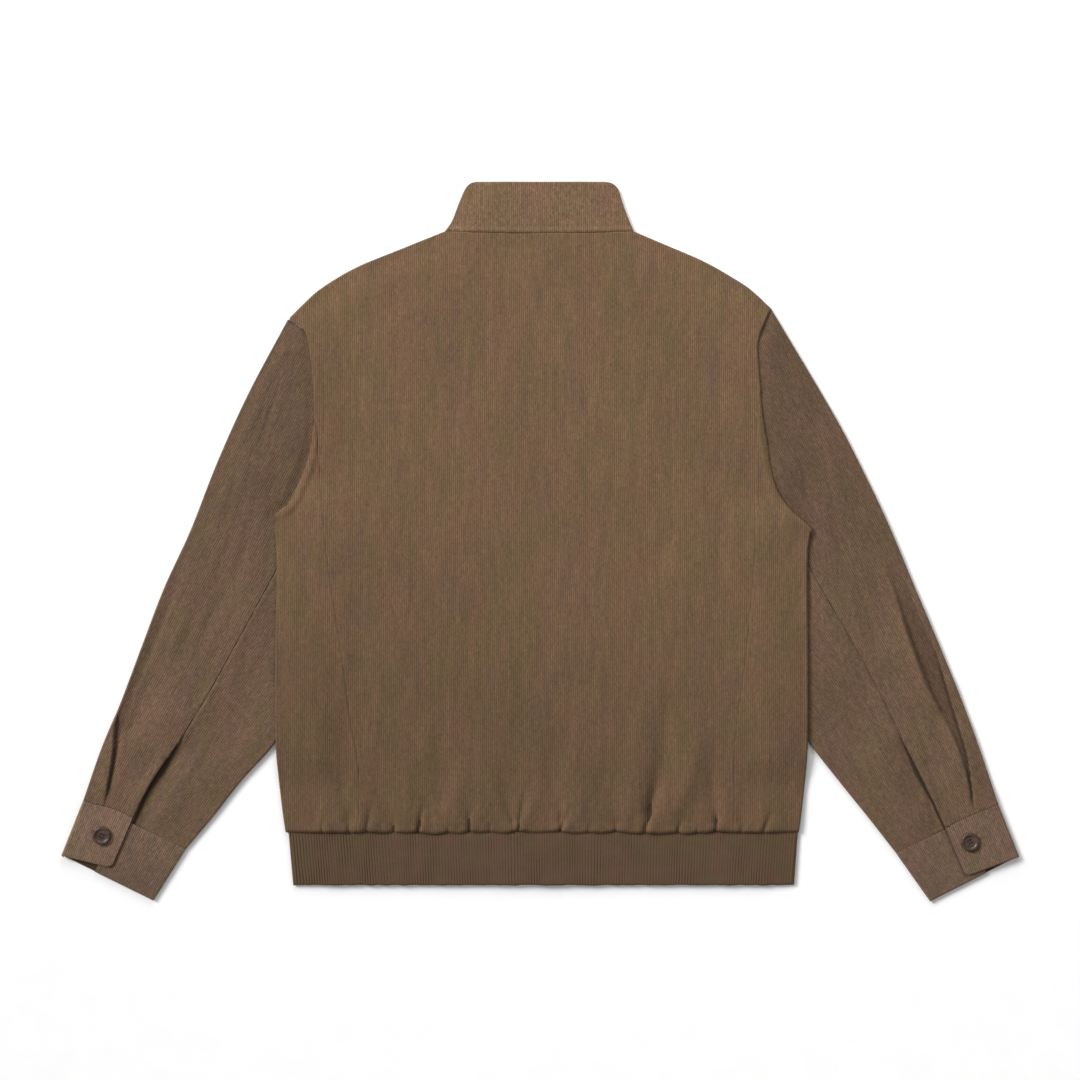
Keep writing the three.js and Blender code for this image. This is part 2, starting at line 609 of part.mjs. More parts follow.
function makeWaistband() {
  const sheet = new Sheet();
  const top = (x) => {
    const beside = Math.min(x + BAND_SIDES.left.seam, BAND_SIDES.right.seam - x);
    return lerp(EDGE_TOP, BAND_TOP + hump(x, 50), smooth(0, 40, beside));
  };
  const span = BAND_SIDES.left.seam + BAND_SIDES.right.seam - 2 * FOLD;
  const ribs = Math.round(span / RIB_PITCH);
  const rows = [0, 1].map((down) => {
    const edge = (key) => lerp(BAND_SIDES[key].seam, BAND_SIDES[key].hem, down);
    const yAt = (x) => (down ? BAND_BOTTOM : hemAt(x) - SEAM);
    const row = [];
    const half = (key, sign) => [
      ...BAND_UNDER.map((share) => {
        const x = sign * lerp(FRONT_EDGE, edge(key) - FOLD, share);
        const y = down ? BAND_BOTTOM : HEM - SEAM;
        return [[x, y, 0], [x, y, CLOTH]];
      }),
      ...WRAP_ANGLES.map((degrees) =>
        foldAt(degrees).map(({ inset, z }) => [sign * (edge(key) - inset), yAt(sign * edge(key)), z]),
      ),
    ];
    row.push(...half("left", -1));
    for (let i = 1; i < 2 * ribs; i += 1) {
      const share = i / (2 * ribs);
      const x = lerp(FOLD - edge("left"), edge("right") - FOLD, share);
      const z = top(lerp(-BAND_SIDES.left.seam, BAND_SIDES.right.seam, share));
      row.push([[x, yAt(x), z + (i % 2) * RIB_RISE], [x, yAt(x), z - CLOTH]]);
    }
    row.push(...half("right", 1).reverse());
    return row.map(([outer, inner]) => sheet.point(outer, inner));
  });
  sheet.weave(rows);
  add("waistband", sheet.geometry(), COLORS.rib);
}

// Sleeves. u runs from the armhole to the cuff seam and a from the outer fold to the inner one.
function columnsOf(table) {
  const keys = Object.keys(table[0]).filter((key) => key !== "along");
  return Object.fromEntries(keys.map((key) => [key, curve(table, "along", key)]));
}

function sleeveForm(name) {
  const side = SIDES[name];
  const cut = columnsOf(SLEEVES[name]);
  const pleat = columnsOf(PLEATS[name]);
  const line = (u, a) => [lerp(cut.outerX(u), cut.innerX(u), a), lerp(cut.outerY(u), cut.innerY(u), a)];
  const armhole = (a) => {
    const y = lerp(side.point, side.tip, a);
    const [low, high] = [Math.max(y - 2, side.tip), Math.min(y + 2, side.point)];
    const run = side.armholeAt(high) - side.armholeAt(low);
    const gap = (ARMHOLE_GAP * (2 - smooth(0, 0.05, a))) / Math.hypot(run, high - low);
    return [side.armholeAt(y) + gap * (high - low), y - gap * run];
  };
  const width = (u) => {
    const [outer, inner] = [line(u, 0), line(u, 1)];
    return Math.hypot(outer[0] - inner[0], outer[1] - inner[1]);
  };
  // The width as measured square to the inner fold
  const square = (u) => {
    const [outer, inner, next] = [line(u, 0), line(u, 1), line(Math.min(u + 0.01, 1), 1)];
    const last = line(u - 0.01, 1);
    const along = [next[0] - last[0], next[1] - last[1]];
    const across = [outer[0] - inner[0], outer[1] - inner[1]];
    return Math.abs(across[0] * along[1] - across[1] * along[0]) / Math.hypot(...along);
  };
  // The armhole's curve fades out along the sleeve, soonest near the underarm
  const plan = (u, a, hidden = false) => {
    const start = line(0, a);
    const bent = armhole(a);
    const fade = (1 - Math.min(u / lerp(0.4, 0.08, smooth(0.5, 0.92, a)), 1)) ** 2;
    const [x, y] = line(u, a).map((value, axis) => value + fade * (bent[axis] - start[axis]));
    const rise = hidden ? 0 : CUFFS[name].rise * smooth(0, 0.35, a) * (1 - smooth(0.52, 0.6, a));
    return [side.sign * x, y + rise * smooth(0.85, 1, u)];
  };
  // Height of the face: low at both folds and under the body, cut down along the pleat
  const top = (u, a) => {
    const wide = width(u);
    const strip = lerp(HIDDEN_STRIP * lerp(0.57, 1, smooth(0, 0.05, u)), 8, smooth(0.64, 0.76, u));
    const crown = smooth(strip, strip + 40, (1 - a) * wide) * smooth(0, 35, a * wide);
    const [near, far, depth] = [pleat.near(u), pleat.far(u), Math.max(pleat.depth(u), 0)];
    const beside = a >= near ? smooth(near + PLEAT_BANK, near, a) : smooth(far - PLEAT_BANK, far, a);
    const flat = lerp(EDGE_TOP, SLEEVE_TOP, crown);
    if (a > far && a < near) return Math.max(flat - depth, 2 * CLOTH + SEAM);
    return flat + PLEAT_RISE * depth * beside;
  };
  return { side, seam: cut.seam, pleat, width, square, plan, top };
}

const SLEEVE_ANGLES = [45, 0, -45];
const ARMHOLE_COLUMNS = ARMHOLE.slice(1, 9).map((share) => (1 - share) / (1 - ARMHOLE[1]));
const PLEAT_COLUMNS = [0.1, 0.045, 0.02, 0.014]; // where the pleat's columns start at the armhole
const HIDDEN_COLUMNS = [
  { even: 0, armhole: 0 }, { even: 0.1, armhole: 0.1 }, { even: 0.3, armhole: 0.31 },
  { even: 0.5, armhole: 0.56 }, { even: 0.75, armhole: 0.8 }, { even: 1, armhole: 0.985 },
];

// Columns of the upper sleeve from the back seam to the outer fold
function upperColumns(form, u) {
  const wide = form.width(u);
  const fold = FOLD / wide;
  const stop = form.seam(u) - SEAM / 2 / wide;
  const near = Math.max(form.pleat.near(u), fold * 2.2);
  const far = Math.max(form.pleat.far(u), fold * 1.5);
  const bank = Math.min(near + PLEAT_BANK, stop * 0.75);
  const first = ARMHOLE_COLUMNS[ARMHOLE_COLUMNS.length - 1];
  const settled = smooth(0.02, 0.3, u);
  const columns = ARMHOLE_COLUMNS.map((across) => {
    const evened = lerp(bank, stop, (across - first) / (1 - first));
    return lerp(across * stop, evened, settled);
  });
  const pleat = [near, (near + far) / 2, far, (far + fold) / 2].map((a, k) =>
    lerp(Math.max(PLEAT_COLUMNS[k], fold * 1.05), a, settled),
  );
  return [...columns, ...pleat, fold];
}

function makeSleeve(name) {
  const form = sleeveForm(name);
  const upper = new Sheet();
  const under = new Sheet();
  const flat = (sheet, u, a, z, hidden) => {
    const [x, y] = form.plan(u, a, hidden);
    return sheet.point(z === 0 ? [x, y, 0] : [x, y, z], [x, y, z === 0 ? CLOTH : z - CLOTH]);
  };
  const round = (sheet, u, degrees, far) => {
    const pair = foldAt(degrees).map(({ inset, z }) => {
      const a = far ? 1 - inset / form.square(u) : inset / form.width(u);
      return [...form.plan(u, a, degrees < 0), z];
    });
    return sheet.point(...pair);
  };
  const upperRows = [];
  const underRows = [];
  for (const u of SLEEVE_STEPS) {
    const wide = form.width(u);
    const slit = smooth(SLIT.starts - 0.05, SLIT.starts, u);
    const half = SEAM / 2 / wide;
    const frontSeam = lerp(SEAM_AT_UNDERARM, FRONT_SEAM, smooth(UNDER_STARTS - 0.14, 0.45, u));
    const lip = (a) => SLIT.lip * slit * hump((form.seam(u) - a) * wide, 9);
    upperRows.push([
      ...upperColumns(form, u).map((a) => flat(upper, u, a, form.top(u, a) + lip(a))),
      ...SLEEVE_ANGLES.map((degrees) => round(upper, u, degrees, false)),
      ...HIDDEN_COLUMNS.map(({ even, armhole }) => {
        const a = lerp(FOLD / wide, frontSeam - half, even);
        const start = even === 0 ? a : Math.min(armhole, frontSeam - half);
        return flat(upper, u, lerp(start, a, smooth(0, 0.25, u)), 0, true);
      }),
    ]);
    const overlap = (SLIT.overlap * smooth(SLIT.starts, SLIT.starts + 0.06, u)) / wide;
    const start = form.seam(u) + half - overlap;
    const end = 1 - FOLD / form.square(u);
    if (u < UNDER_STARTS) continue;
    underRows.push([
      ...[0, 0.12, 0.4, 0.7, 1].map((share) => {
        const a = lerp(start, end, share);
        const dip = SLIT.drop * slit * (1 - smooth(0.12, 0.45, share));
        return flat(under, u, a, form.top(u, a) - dip, u > SLIT.starts);
      }),
      ...SLEEVE_ANGLES.map((degrees) => round(under, u, degrees, true)),
      ...[0, 0.5, 1].map((share) => flat(under, u, lerp(end, frontSeam + half, share), 0, true)),
    ]);
  }
  upper.weave(upperRows);
  under.weave(underRows);
  add(`sleeve_upper_${name}`, upper.geometry(), COLORS.sleeve);
  add(`sleeve_under_${name}`, under.geometry(), COLORS.sleeve);
  return form;
}

// Cuffs: one band from the tab's edge over the outer fold, under the arm and back beneath the tab
const CUFF_ROWS = [0, 0.12, 0.5, 0.88, 1];
const CUFF_OUTER_FOLD = (CUFF_LEVEL.tab - CUFF_LEVEL.under + CLOTH) / 2; // its outer radius
const CUFF_INNER_FOLD = (CUFF_LEVEL.lap - CUFF_LEVEL.under + CLOTH) / 2;
const TAB_CORNER = 2.5; // how far the tab's free corner is cut back

function makeCuff(name, form) {
  const { outer, inner, tab } = CUFFS[name];
  const sheet = new Sheet();
  const tabShare = form.seam(1);
  const stations = [];
  for (const a of [tabShare, tabShare * 0.8, tabShare * 0.5, tabShare * 0.25]) {
    stations.push({ a, level: CUFF_LEVEL.tab, face: 1, hem: mix(outer, tab, a / tabShare) });
  }
  for (const degrees of [90, 45, 0, -45, -90]) {
    stations.push({ degrees, radius: CUFF_OUTER_FOLD, far: false });
  }
  for (const a of [0.25, 0.5, 0.75]) stations.push({ a, level: CUFF_LEVEL.under, face: -1 });
  for (const degrees of [-90, -45, 0, 45, 90]) {
    stations.push({ degrees, radius: CUFF_INNER_FOLD, far: true });
  }
  for (const a of [0.8, 0.6, LAP_END]) stations.push({ a, level: CUFF_LEVEL.lap, face: 1 });
  const wideSeam = form.width(1);
  const wideHem = Math.hypot(outer[0] - inner[0], outer[1] - inner[1]);
  const rows = CUFF_ROWS.map((down) =>
    stations.map((station, index) => {
      const place = (aSeam, aHem, hem, lower) => {
        const [x, y] = form.plan(1, aSeam, lower);
        const start = [Math.abs(x) + CUFF_GAP * 0.4, y - CUFF_GAP * 0.9];
        return mix(start, hem ?? mix(outer, inner, aHem), down);
      };
      let pair;
      if (station.radius) {
        pair = foldAt(station.degrees, station.radius, station.radius).map(({ inset, z }) => {
          const far = station.far;
          const aSeam = far ? 1 - inset / wideSeam : inset / wideSeam;
          const aHem = far ? 1 - inset / wideHem : inset / wideHem;
          return [...place(aSeam, aHem, null, true), z];
        });
      } else {
        const spot = place(station.a, station.a, station.hem, station.level !== CUFF_LEVEL.tab);
        const short = index === 0 && down === 1 ? TAB_CORNER : 0;
        pair = [1, -1].map((face) => [
          spot[0] - short * 0.3, spot[1] + short, station.level + (face * station.face * CLOTH) / 2,
        ]);
      }
      const [outside, inside] = pair.map(([x, y, z]) => [form.side.sign * x, y, z]);
      return sheet.point(outside, inside);
    }),
  );
  sheet.weave(rows);
  add(`cuff_${name}`, sheet.geometry(), COLORS.sleeve);
}

function makeButton(name, side) {
  const [x, y] = CUFFS[name].button;
  const disc = new THREE.Shape();
  disc.absarc(0, 0, BUTTON.radius, 0, 2 * Math.PI);
  for (let i = 0; i < 4; i += 1) {
    const angle = Math.PI / 4 + (i * Math.PI) / 2;
    const centre = [BUTTON.holeAt * Math.cos(angle), BUTTON.holeAt * Math.sin(angle)];
    const hole = new THREE.Path();
    hole.absarc(...centre, BUTTON.hole, 0, 2 * Math.PI, true);
    disc.holes.push(hole);
  }
  const cut = { depth: BUTTON.thick, bevelEnabled: false, curveSegments: 12 };
  const button = add(`cuff_button_${name}`, new THREE.ExtrudeGeometry(disc, cut), COLORS.button, 0.4);
  button.position.set(side.sign * x, y, CUFF_LEVEL.tab + CLOTH / 2 + SEAM);
}

function addBrass(name, geometry) {
  return add(name, geometry, COLORS.brass, BRASS_ROUGHNESS, BRASS_METALNESS);
}

// Zip, which runs inside the slot between the fronts, the collar's ends and the waistband's ends
function profile(points, from, to) {
  const shape = new THREE.Shape(points.map(([x, z]) => new THREE.Vector2(x, z)));
  const geometry = new THREE.ExtrudeGeometry(shape, { depth: to - from, bevelEnabled: false });
  // The section is drawn in x and z, so the extrusion turns to run along Y
  geometry.rotateX(Math.PI / 2);
  geometry.translate(0, to, 0);
  return geometry;
}

function makeZip() {
  const rest = CLOTH + SEAM;
  const edge = CHAIN.half + SEAM;
  const high = (CHAIN.bottom + CHAIN.top - TAPE.thick) / 2;
  const tape = [
    [edge, high], [TAPE.flat, rest], [TAPE.reach, rest], [TAPE.reach, rest + TAPE.thick],
    [TAPE.flat, rest + TAPE.thick], [edge, high + TAPE.thick],
  ];
  const mirrored = tape.map(([x, z]) => [-x, z]).reverse();
  add("zip_tape_left", profile(mirrored, CHAIN.from, SLIDER.from - SEAM), COLORS.tape);
  add("zip_tape_right", profile(tape, CHAIN.from, SLIDER.from - SEAM), COLORS.tape);
  const { half, bottom, top } = CHAIN;
  const box = [[-half, bottom], [half, bottom], [half, top], [-half, top]];
  addBrass("zip_chain", profile(box, CHAIN.from, CHAIN.to));
}

// Extrudes a shape drawn in y and z by a half width to each side of the centre line
function acrossPiece(shape, half) {
  const geometry = new THREE.ExtrudeGeometry(shape, { depth: 2 * half, bevelEnabled: false });
  geometry.translate(0, 0, -half);
  // Drawn x becomes Y, drawn y becomes Z and the extrusion runs along X
  geometry.applyMatrix4(new THREE.Matrix4().set(0, 0, 1, 0, 1, 0, 0, 0, 0, 1, 0, 0, 0, 0, 0, 1));
  return geometry;
}

function rectangle(from, to, bottom, top) {
  return [[from, bottom], [to, bottom], [to, top], [from, top]].map(([y, z]) => new THREE.Vector2(y, z));
}

async function makeSlider() {
  const { from, to, slotEnd, bottom, top, plate, half } = SLIDER;
  const outline = [
    [from, bottom], [to, bottom], [to, top], [from, top],
    [from, top - plate], [slotEnd, top - plate], [slotEnd, bottom + plate], [from, bottom + plate],
  ];
  const body = acrossPiece(new THREE.Shape(outline.map(([y, z]) => new THREE.Vector2(y, z))), half);
  const eye = CROWN.hole / 2;
  const reach = eye + CROWN.wall;
  const foot = bottom - CROWN.hole;
  const crown = rectangle(CROWN.y - reach, CROWN.y + reach, foot - CROWN.wall, bottom + plate / 2);
  const arch = new THREE.Shape(crown);
  arch.holes.push(new THREE.Path(rectangle(CROWN.y - eye, CROWN.y + eye, foot, bottom)));
  const wasm = await Module();
  wasm.setup();
  const solid = (geometry) => {
    const bare = geometry.clone();
    bare.deleteAttribute("normal");
    bare.deleteAttribute("uv");
    const merged = mergeVertices(bare, 1e-4);
    return new wasm.Manifold(new wasm.Mesh({
      numProp: 3,
      vertProperties: new Float32Array(merged.attributes.position.array),
      triVerts: new Uint32Array(merged.index.array),
    }));
  };
  const joined = solid(body).add(solid(acrossPiece(arch, CROWN.half))).getMesh();
  const geometry = new THREE.BufferGeometry();
  geometry.setAttribute("position", new THREE.BufferAttribute(joined.vertProperties, 3));
  geometry.setIndex(new THREE.BufferAttribute(joined.triVerts, 1));
  geometry.computeVertexNormals();
  addBrass("zip_slider", geometry);
}

// Pull tab: a flat frame whose upper bar runs through the slider's crown
function makePull() {
  const { width, length, thick, taper, round, slotHalf, slotLength } = PULL;
  const barTop = thick / 2;
  const w = width / 2;
  const narrow = w * taper;
  const tip = barTop - length;
  const plate = new THREE.Shape();
  plate.moveTo(-w, barTop);
  plate.lineTo(-narrow, tip + round);
  plate.quadraticCurveTo(-narrow, tip, 0, tip);
  plate.quadraticCurveTo(narrow, tip, narrow, tip + round);
  plate.lineTo(w, barTop);
  const slot = new THREE.Path();
  slot.moveTo(-slotHalf, -barTop);
  slot.lineTo(slotHalf, -barTop);
  slot.lineTo(slotHalf, -barTop - slotLength);
  slot.lineTo(-slotHalf, -barTop - slotLength);
  plate.holes.push(slot);
  const cut = { depth: thick, bevelEnabled: false, curveSegments: 5 };
  const pull = addBrass("zip_pull", new THREE.ExtrudeGeometry(plate, cut));
  pull.position.set(0, CROWN.y, SLIDER.bottom - CROWN.hole / 2 - thick / 2);
}

makeBack();
makeFront("front_left", SIDES.left);
makeFront("front_right", SIDES.right);
makeCollar();
makeWaistband();
for (const name of ["left", "right"]) {
  const form = makeSleeve(name);
  makeCuff(name, form);
  makeButton(name, form.side);
}
makeZip();
await makeSlider();
makePull();

export default group;
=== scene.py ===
"""A stand-collar corduroy blouson that lies flat on its front, back up, with its sleeves spread.

Tables and shapes are in millimetres, in the frame of the CAD part, and meshes are made in metres.
"""

import math

import bpy
import numpy as np
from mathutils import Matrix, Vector


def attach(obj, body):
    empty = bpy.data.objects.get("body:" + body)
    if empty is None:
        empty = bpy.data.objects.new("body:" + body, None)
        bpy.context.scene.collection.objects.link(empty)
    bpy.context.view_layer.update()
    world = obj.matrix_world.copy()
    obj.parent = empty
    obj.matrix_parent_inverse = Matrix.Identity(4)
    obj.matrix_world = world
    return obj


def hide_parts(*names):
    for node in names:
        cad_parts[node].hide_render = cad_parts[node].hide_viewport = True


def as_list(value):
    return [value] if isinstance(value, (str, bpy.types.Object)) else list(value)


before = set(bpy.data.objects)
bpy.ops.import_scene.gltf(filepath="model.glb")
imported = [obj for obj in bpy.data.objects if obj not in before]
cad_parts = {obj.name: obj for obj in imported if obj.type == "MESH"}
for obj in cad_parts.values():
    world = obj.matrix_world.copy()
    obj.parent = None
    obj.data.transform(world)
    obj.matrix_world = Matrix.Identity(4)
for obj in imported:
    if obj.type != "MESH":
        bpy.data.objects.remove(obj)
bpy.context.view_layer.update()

MM = 0.001

# Walls and heights, as in the solids
CLOTH = 2.0
SEAM = 0.3
FOLD = 2.3
EDGE_TOP = 2 * FOLD
BACK_TOP = 7.2
SLEEVE_TOP = 6.6
LIFT = 5.0
FRONT_EDGE = 6
SHOULDER_INSET = 3.2
SHOULDER_SLANT = 0.88
HEM = -304
NECK = 323.5
NECK_DIP = 2.2
NECK_HALF = 99
SIDE_EDGE = 278
BAND_BOTTOM = -359
BAND_TOP = 5.9
RIB_PITCH = 2.92
COLLAR_HEIGHT = 52.5
FRONT_NECK = 258
COLLAR_TOP = 7.4

# The ridges of the corduroy
WALE = 2.15
WALE_SAMPLES = 3  # columns for each wale: one in the groove, two on the ridge
WALE_DEPTH = 0.42

# Outline of each side of the body. Pairs are (y, distance from the centre line).
SIDES = {
    "left": {
        "sign": -1,
        "edge": [(-304, 266), (-283, 269), (-249, 273), (-209, 276), (-104, 276), (-22, 275), (27, 277)],
        "armhole": [
            (27, 277), (33, 270), (40, 262), (59, 253), (81, 244), (110, 238), (138, 236),
            (164, 237), (192, 240), (215, 244), (222, 248), (227, 255), (231, 264),
        ],
        "shoulder": [(231, 264), (248, 247), (264, 229), (286, 192), (305, 146), (323.5, 100)],
        "seam": [
            (-304, 191), (-261, 188), (-223, 191), (-185, 198), (-130, 205), (-72, 214),
            (-24, 221), (22, 226), (74, 230), (138, 236),
        ],
        "collar": [(0, 100), (0.2, 92.8), (0.55, 85.5), (0.82, 79.5), (0.92, 76), (0.975, 72), (1, 67)],
        "band": (263, 258),
    },
    "right": {
        "sign": 1,
        "edge": [(-304, 270), (-290, 272), (-244, 277), (-207, 279), (-113, 279), (-9, 279), (12, 283)],
        "armhole": [
            (12, 283), (20, 276), (32, 262), (52, 248), (80, 240), (102, 237), (132, 232),
            (156, 230), (184, 228), (204, 227), (218, 230), (230, 235), (243, 241),
        ],
        "shoulder": [(243, 241), (264, 218), (280, 193), (294, 167), (309, 132), (323.5, 98)],
        "seam": [
            (-304, 201), (-268, 202), (-225, 202), (-190, 205), (-152, 210), (-102, 216),
            (-57, 220), (-20, 223), (33, 224), (106, 225), (156, 230),
        ],
        "collar": [(0, 98), (0.2, 93.5), (0.55, 86.5), (0.82, 82), (0.92, 78.5), (0.975, 74), (1, 68)],
        "band": (269, 265),
    },
}

# Creases of the back: points from the upper end to the foot, half width and depth
CREASES = [
    ([(-227, -284), (-227, -304)], 1.8, 1.5),
    ([(-203, -283), (-200, -294), (-199, -304)], 2.0, 1.9),
    ([(-172, -262), (-176, -274), (-182, -304)], 2.2, 2.3),
    ([(-155, -287), (-153, -304)], 1.8, 1.2),
    ([(-121, -268), (-123, -280), (-128, -304)], 1.9, 2.6),
    ([(-98, -292), (-96, -304)], 1.6, 1.0),
    ([(-74.5, -274), (-74, -304)], 1.9, 2.6),
    ([(-54, -290), (-52, -304)], 1.6, 1.0),
    ([(-29.2, -287), (-28, -304)], 1.7, 1.5),
    ([(-10, -250), (-16.4, -262), (-23.6, -304)], 2.0, 2.6),
    ([(-44, -250), (-38, -264), (-29, -292)], 3.2, 1.1),
    ([(34, -272), (29, -284), (19.6, -304)], 2.0, 2.4),
    ([(27, -245), (25.8, -258), (20.5, -292)], 2.6, 1.1),
    ([(52, -290), (50, -304)], 1.7, 1.0),
    ([(79.8, -288), (78, -304)], 1.8, 1.6),
    ([(124, -248), (118, -268), (108.7, -304)], 2.4, 3.2),
    ([(149, -286), (143.2, -304)], 2.0, 2.1),
    ([(165, -292), (163, -304)], 1.6, 1.0),
    ([(184, -276), (182.3, -304)], 1.9, 1.9),
    ([(213, -288), (209, -304)], 1.8, 1.2),
    ([(243, -276), (238, -290), (232, -304)], 2.0, 1.8),
    ([(-180, -225), (-168, -262), (-152, -298)], 6.5, 2.4),
    ([(-240, -236), (-236, -292)], 7.0, 1.4),
    ([(-206, -170), (-210, -240), (-199, -288)], 7.0, 1.7),
    ([(-127, -246), (-113, -288)], 5.5, 1.9),
    ([(-104, -218), (-103, -270)], 7.0, 1.9),
    ([(-44, -222), (-36, -252), (-27, -290)], 6.0, 2.3),
    ([(4, -190), (12, -240), (21, -288)], 6.5, 2.0),
    ([(64, -228), (78, -292)], 7.0, 1.7),
    ([(130, -150), (130, -228), (112, -282)], 7.0, 3.0),
    ([(172, -190), (180, -250), (182, -290)], 6.0, 2.0),
    ([(212, -212), (208, -290)], 7.0, 0.9),
    ([(166, -180), (154, -240), (142, -280)], 6.5, -1.5),
    ([(-58, -226), (-52, -290)], 7.5, -1.0),
    ([(42, -212), (40, -282)], 7.5, -0.9),
    ([(95, -216), (92, -284)], 7.5, -1.2),
    ([(-150, -232), (-138, -290)], 7.0, -1.2),
    ([(-88, -240), (-88, -290)], 6.0, -0.8),
]
# Where the hem is drawn up: place and by how much, with the hem's sag up to the next one
GATHERS = [
    (-181.5, 1.3, 0.3), (-154, 0.1, 0.4), (-127.5, 0.6, 2.0), (-96, 0.2, 1.2),
    (-74.3, 1.0, 0.2), (-52, 0.4, 1.0),
    (-25, 1.6, 0.3), (20, 1.4, 1.2), (50, 0.1, 0.6), (78, 1.2, 0.8), (108.7, -0.4, 1.5), (143.2, 0.1, 1.8),
    (163, 0.2, 0.2), (182.3, 1.6, 0),
]

# Broad soft troughs and ridges: centre, half width, half length, lean to the right for each
# millimetre up, and height
SWELLS = [
    (-197, -186, 13, 40, 0.0, -0.7),
    (-105, -233, 14, 46, 0.05, -1.1),
    (-34, -223, 12, 44, -0.1, -0.9),
    (17, -228, 11, 42, 0.1, -1.0),
    (35, -222, 9, 38, 0.08, 0.8),
    (93, -240, 12, 38, 0.1, 0.8),
    (128, -207, 11, 52, 0.16, -1.6),
    (156, -252, 11, 40, 0.2, 1.0),
    (184, -249, 12, 40, 0.1, -0.8),
    (-60, -262, 16, 26, 0.0, 0.7),
    (-152, -268, 15, 24, 0.0, 0.7),
    (60, -270, 15, 24, 0.0, 0.6),
    (-110, 120, 22, 120, 0.02, 0.7),
    (40, 60, 26, 150, -0.03, -0.6),
    (120, 150, 22, 90, 0.1, 0.6),
    (-150, -60, 20, 110, 0.0, -0.6),
    (-194, 135, 15, 75, 0.03, -1.5),
    (-160, 250, 30, 22, 0.4, -0.8),
    (190, 120, 16, 80, -0.03, -1.0),
]

# Sleeve sections: along, outer fold (x, y), inner fold (x, y), back seam as a share of the way across
SLEEVES = {
    "left": [
        (0, 264, 231, 277, 27, 0.97),
        (0.125, 305, 154, 272, -4, 0.93),
        (0.25, 338, 81, 253, -51, 0.77),
        (0.375, 365, 12, 243, -103, 0.61),
        (0.5, 393, -49, 249, -157, 0.53),
        (0.625, 416, -109, 276, -209, 0.5),
        (0.75, 439, -170, 312, -250, 0.49),
        (0.875, 459, -218, 342, -288, 0.465),
        (1, 477, -270, 370, -321, 0.49),
    ],
    "right": [
        (0, 241, 243, 283, 12, 0.97),
        (0.125, 305, 135, 273, -15, 0.92),
        (0.25, 336, 76, 253, -53, 0.72),
        (0.375, 364, 17, 243, -106, 0.57),
        (0.5, 392, -50, 249, -160, 0.48),
        (0.625, 417, -109, 279, -208, 0.47),
        (0.75, 441, -168, 313, -252, 0.49),
        (0.875, 460, -220, 342, -288, 0.5),
        (1, 478, -274, 371, -325, 0.52),
    ],
}
# Pleat above each cuff, from its upper end to its foot: the edge of the flap that lies on top, and
# the crest beyond the valley
PLEATS = {
    "left": {
        "flap": [
            (380, -20), (398, -64), (411, -97), (424, -129), (435, -155), (440, -175), (443.6, -194),
            (445.2, -214), (447.4, -233), (451.7, -259), (454.5, -277),
        ],
        "crest": [
            (368, -20), (384, -64), (398, -97), (411, -129), (424, -160), (431, -184), (438, -207),
            (443, -233), (449, -259), (453, -277),
        ],
        "begins": (0.36, 0.6),
        "wall": 8,
    },
    "right": {
        "flap": [
             (389, -60), (401, -90), (413, -116), (429, -168), (439, -201), (445.6, -224),
             (450.5, -259), (452.5, -282),
         ],
        "crest": [
             (362.5, -25), (374, -64), (387, -106), (406, -155), (427, -194), (440, -224),
             (449, -259), (452, -282),
         ],
        "begins": (0.36, 0.58),
        "wall": 5,
    },
}
PLEAT_FLAP = {"left": 2.3, "right": 1.7}
PLEAT_DEPTH = 2.7
PLEAT_FLOOR = 3.6
PLEAT_CREST = {"left": 0.5, "right": 1.7}
SLIT_STARTS = 0.74
SLIT_OVERLAP = 6
SLIT_DROP = 2.45
SLIT_LIP = 0.5
# Width of the painted shade inside each slit
SLIT_SHADE_WIDTH = {"left": 6.0, "right": 4.2}
LEE = {"left": 0.0, "right": 0.16}  # the light comes from the upper left, so the body shades one sleeve
FRONT_SEAM = 0.72
SEAM_AT_UNDERARM = 0.985
UNDER_STARTS = 0.24
HIDDEN_STRIP = 46
UPPER_LEAN = math.radians(28.5)
UNDER_LEAN = {"left": math.radians(36), "right": math.radians(32)}

# Soft folds of the sleeves, in the same form as the creases of the back
SLEEVE_CREASES = {
    "left": [
        ([(392, -108), (406, -150), (428, -196)], 9, 1.8),
        ([(352, -30), (346, -86)], 14, 1.2),
        ([(300, 40), (330, -60)], 15, 0.8),
        ([(372, -120), (392, -215)], 12, -1.0),
        ([(330, -170), (352, -236)], 10, 0.9),
        ([(290, 150), (286, 90)], 9, 0.9),
        ([(300, -150), (322, -214)], 9, 0.7),
    ],
    "right": [
        ([(357, 8), (364, -26), (371, -57), (384, -98), (401, -138), (415, -170)], 7, -2.4),
        ([(375, 0), (384, -60), (402, -110), (420, -140)], 8, 1.6),
        ([(340, -40), (352, -100)], 14, 1.2),
        ([(300, 60), (316, 0)], 14, 1.0),
        ([(292, 180), (288, 120)], 9, 0.9),
        ([(318, -150), (345, -210)], 10, 0.9),
        ([(380, -160), (398, -224)], 9, -0.9),
    ],
}

CUFFS = {
    "left": {
        "outer": (500, -328), "inner": (404, -375), "tab": (447, -341), "rise": 6.5, "button": (457, -307),
    },
    "right": {
        "outer": (500, -329), "inner": (407, -376), "tab": (444, -350), "rise": 2, "button": (448, -313.5),
    },
}
CUFF_LEVEL = {"under": 1.0, "lap": 3.4, "tab": 5.8}
LAP_END = 0.36
# Painted shade on each cuff's lap
LAP_SHADE = {"left": 0.22, "right": 0.06}
CUFF_GAP = 0.5
BUTTON_RADIUS = 9.6


def lerp(a, b, t):
    return a + (b - a) * t


def ramp(low, high, value):
    """Goes smoothly from 0 at low to 1 at high, which may be the lower of the two."""
    t = np.clip((value - low) / (high - low), 0, 1)
    return t * t * (3 - 2 * t)


def hump(value, half):
    return np.exp(-((value / half) ** 2))


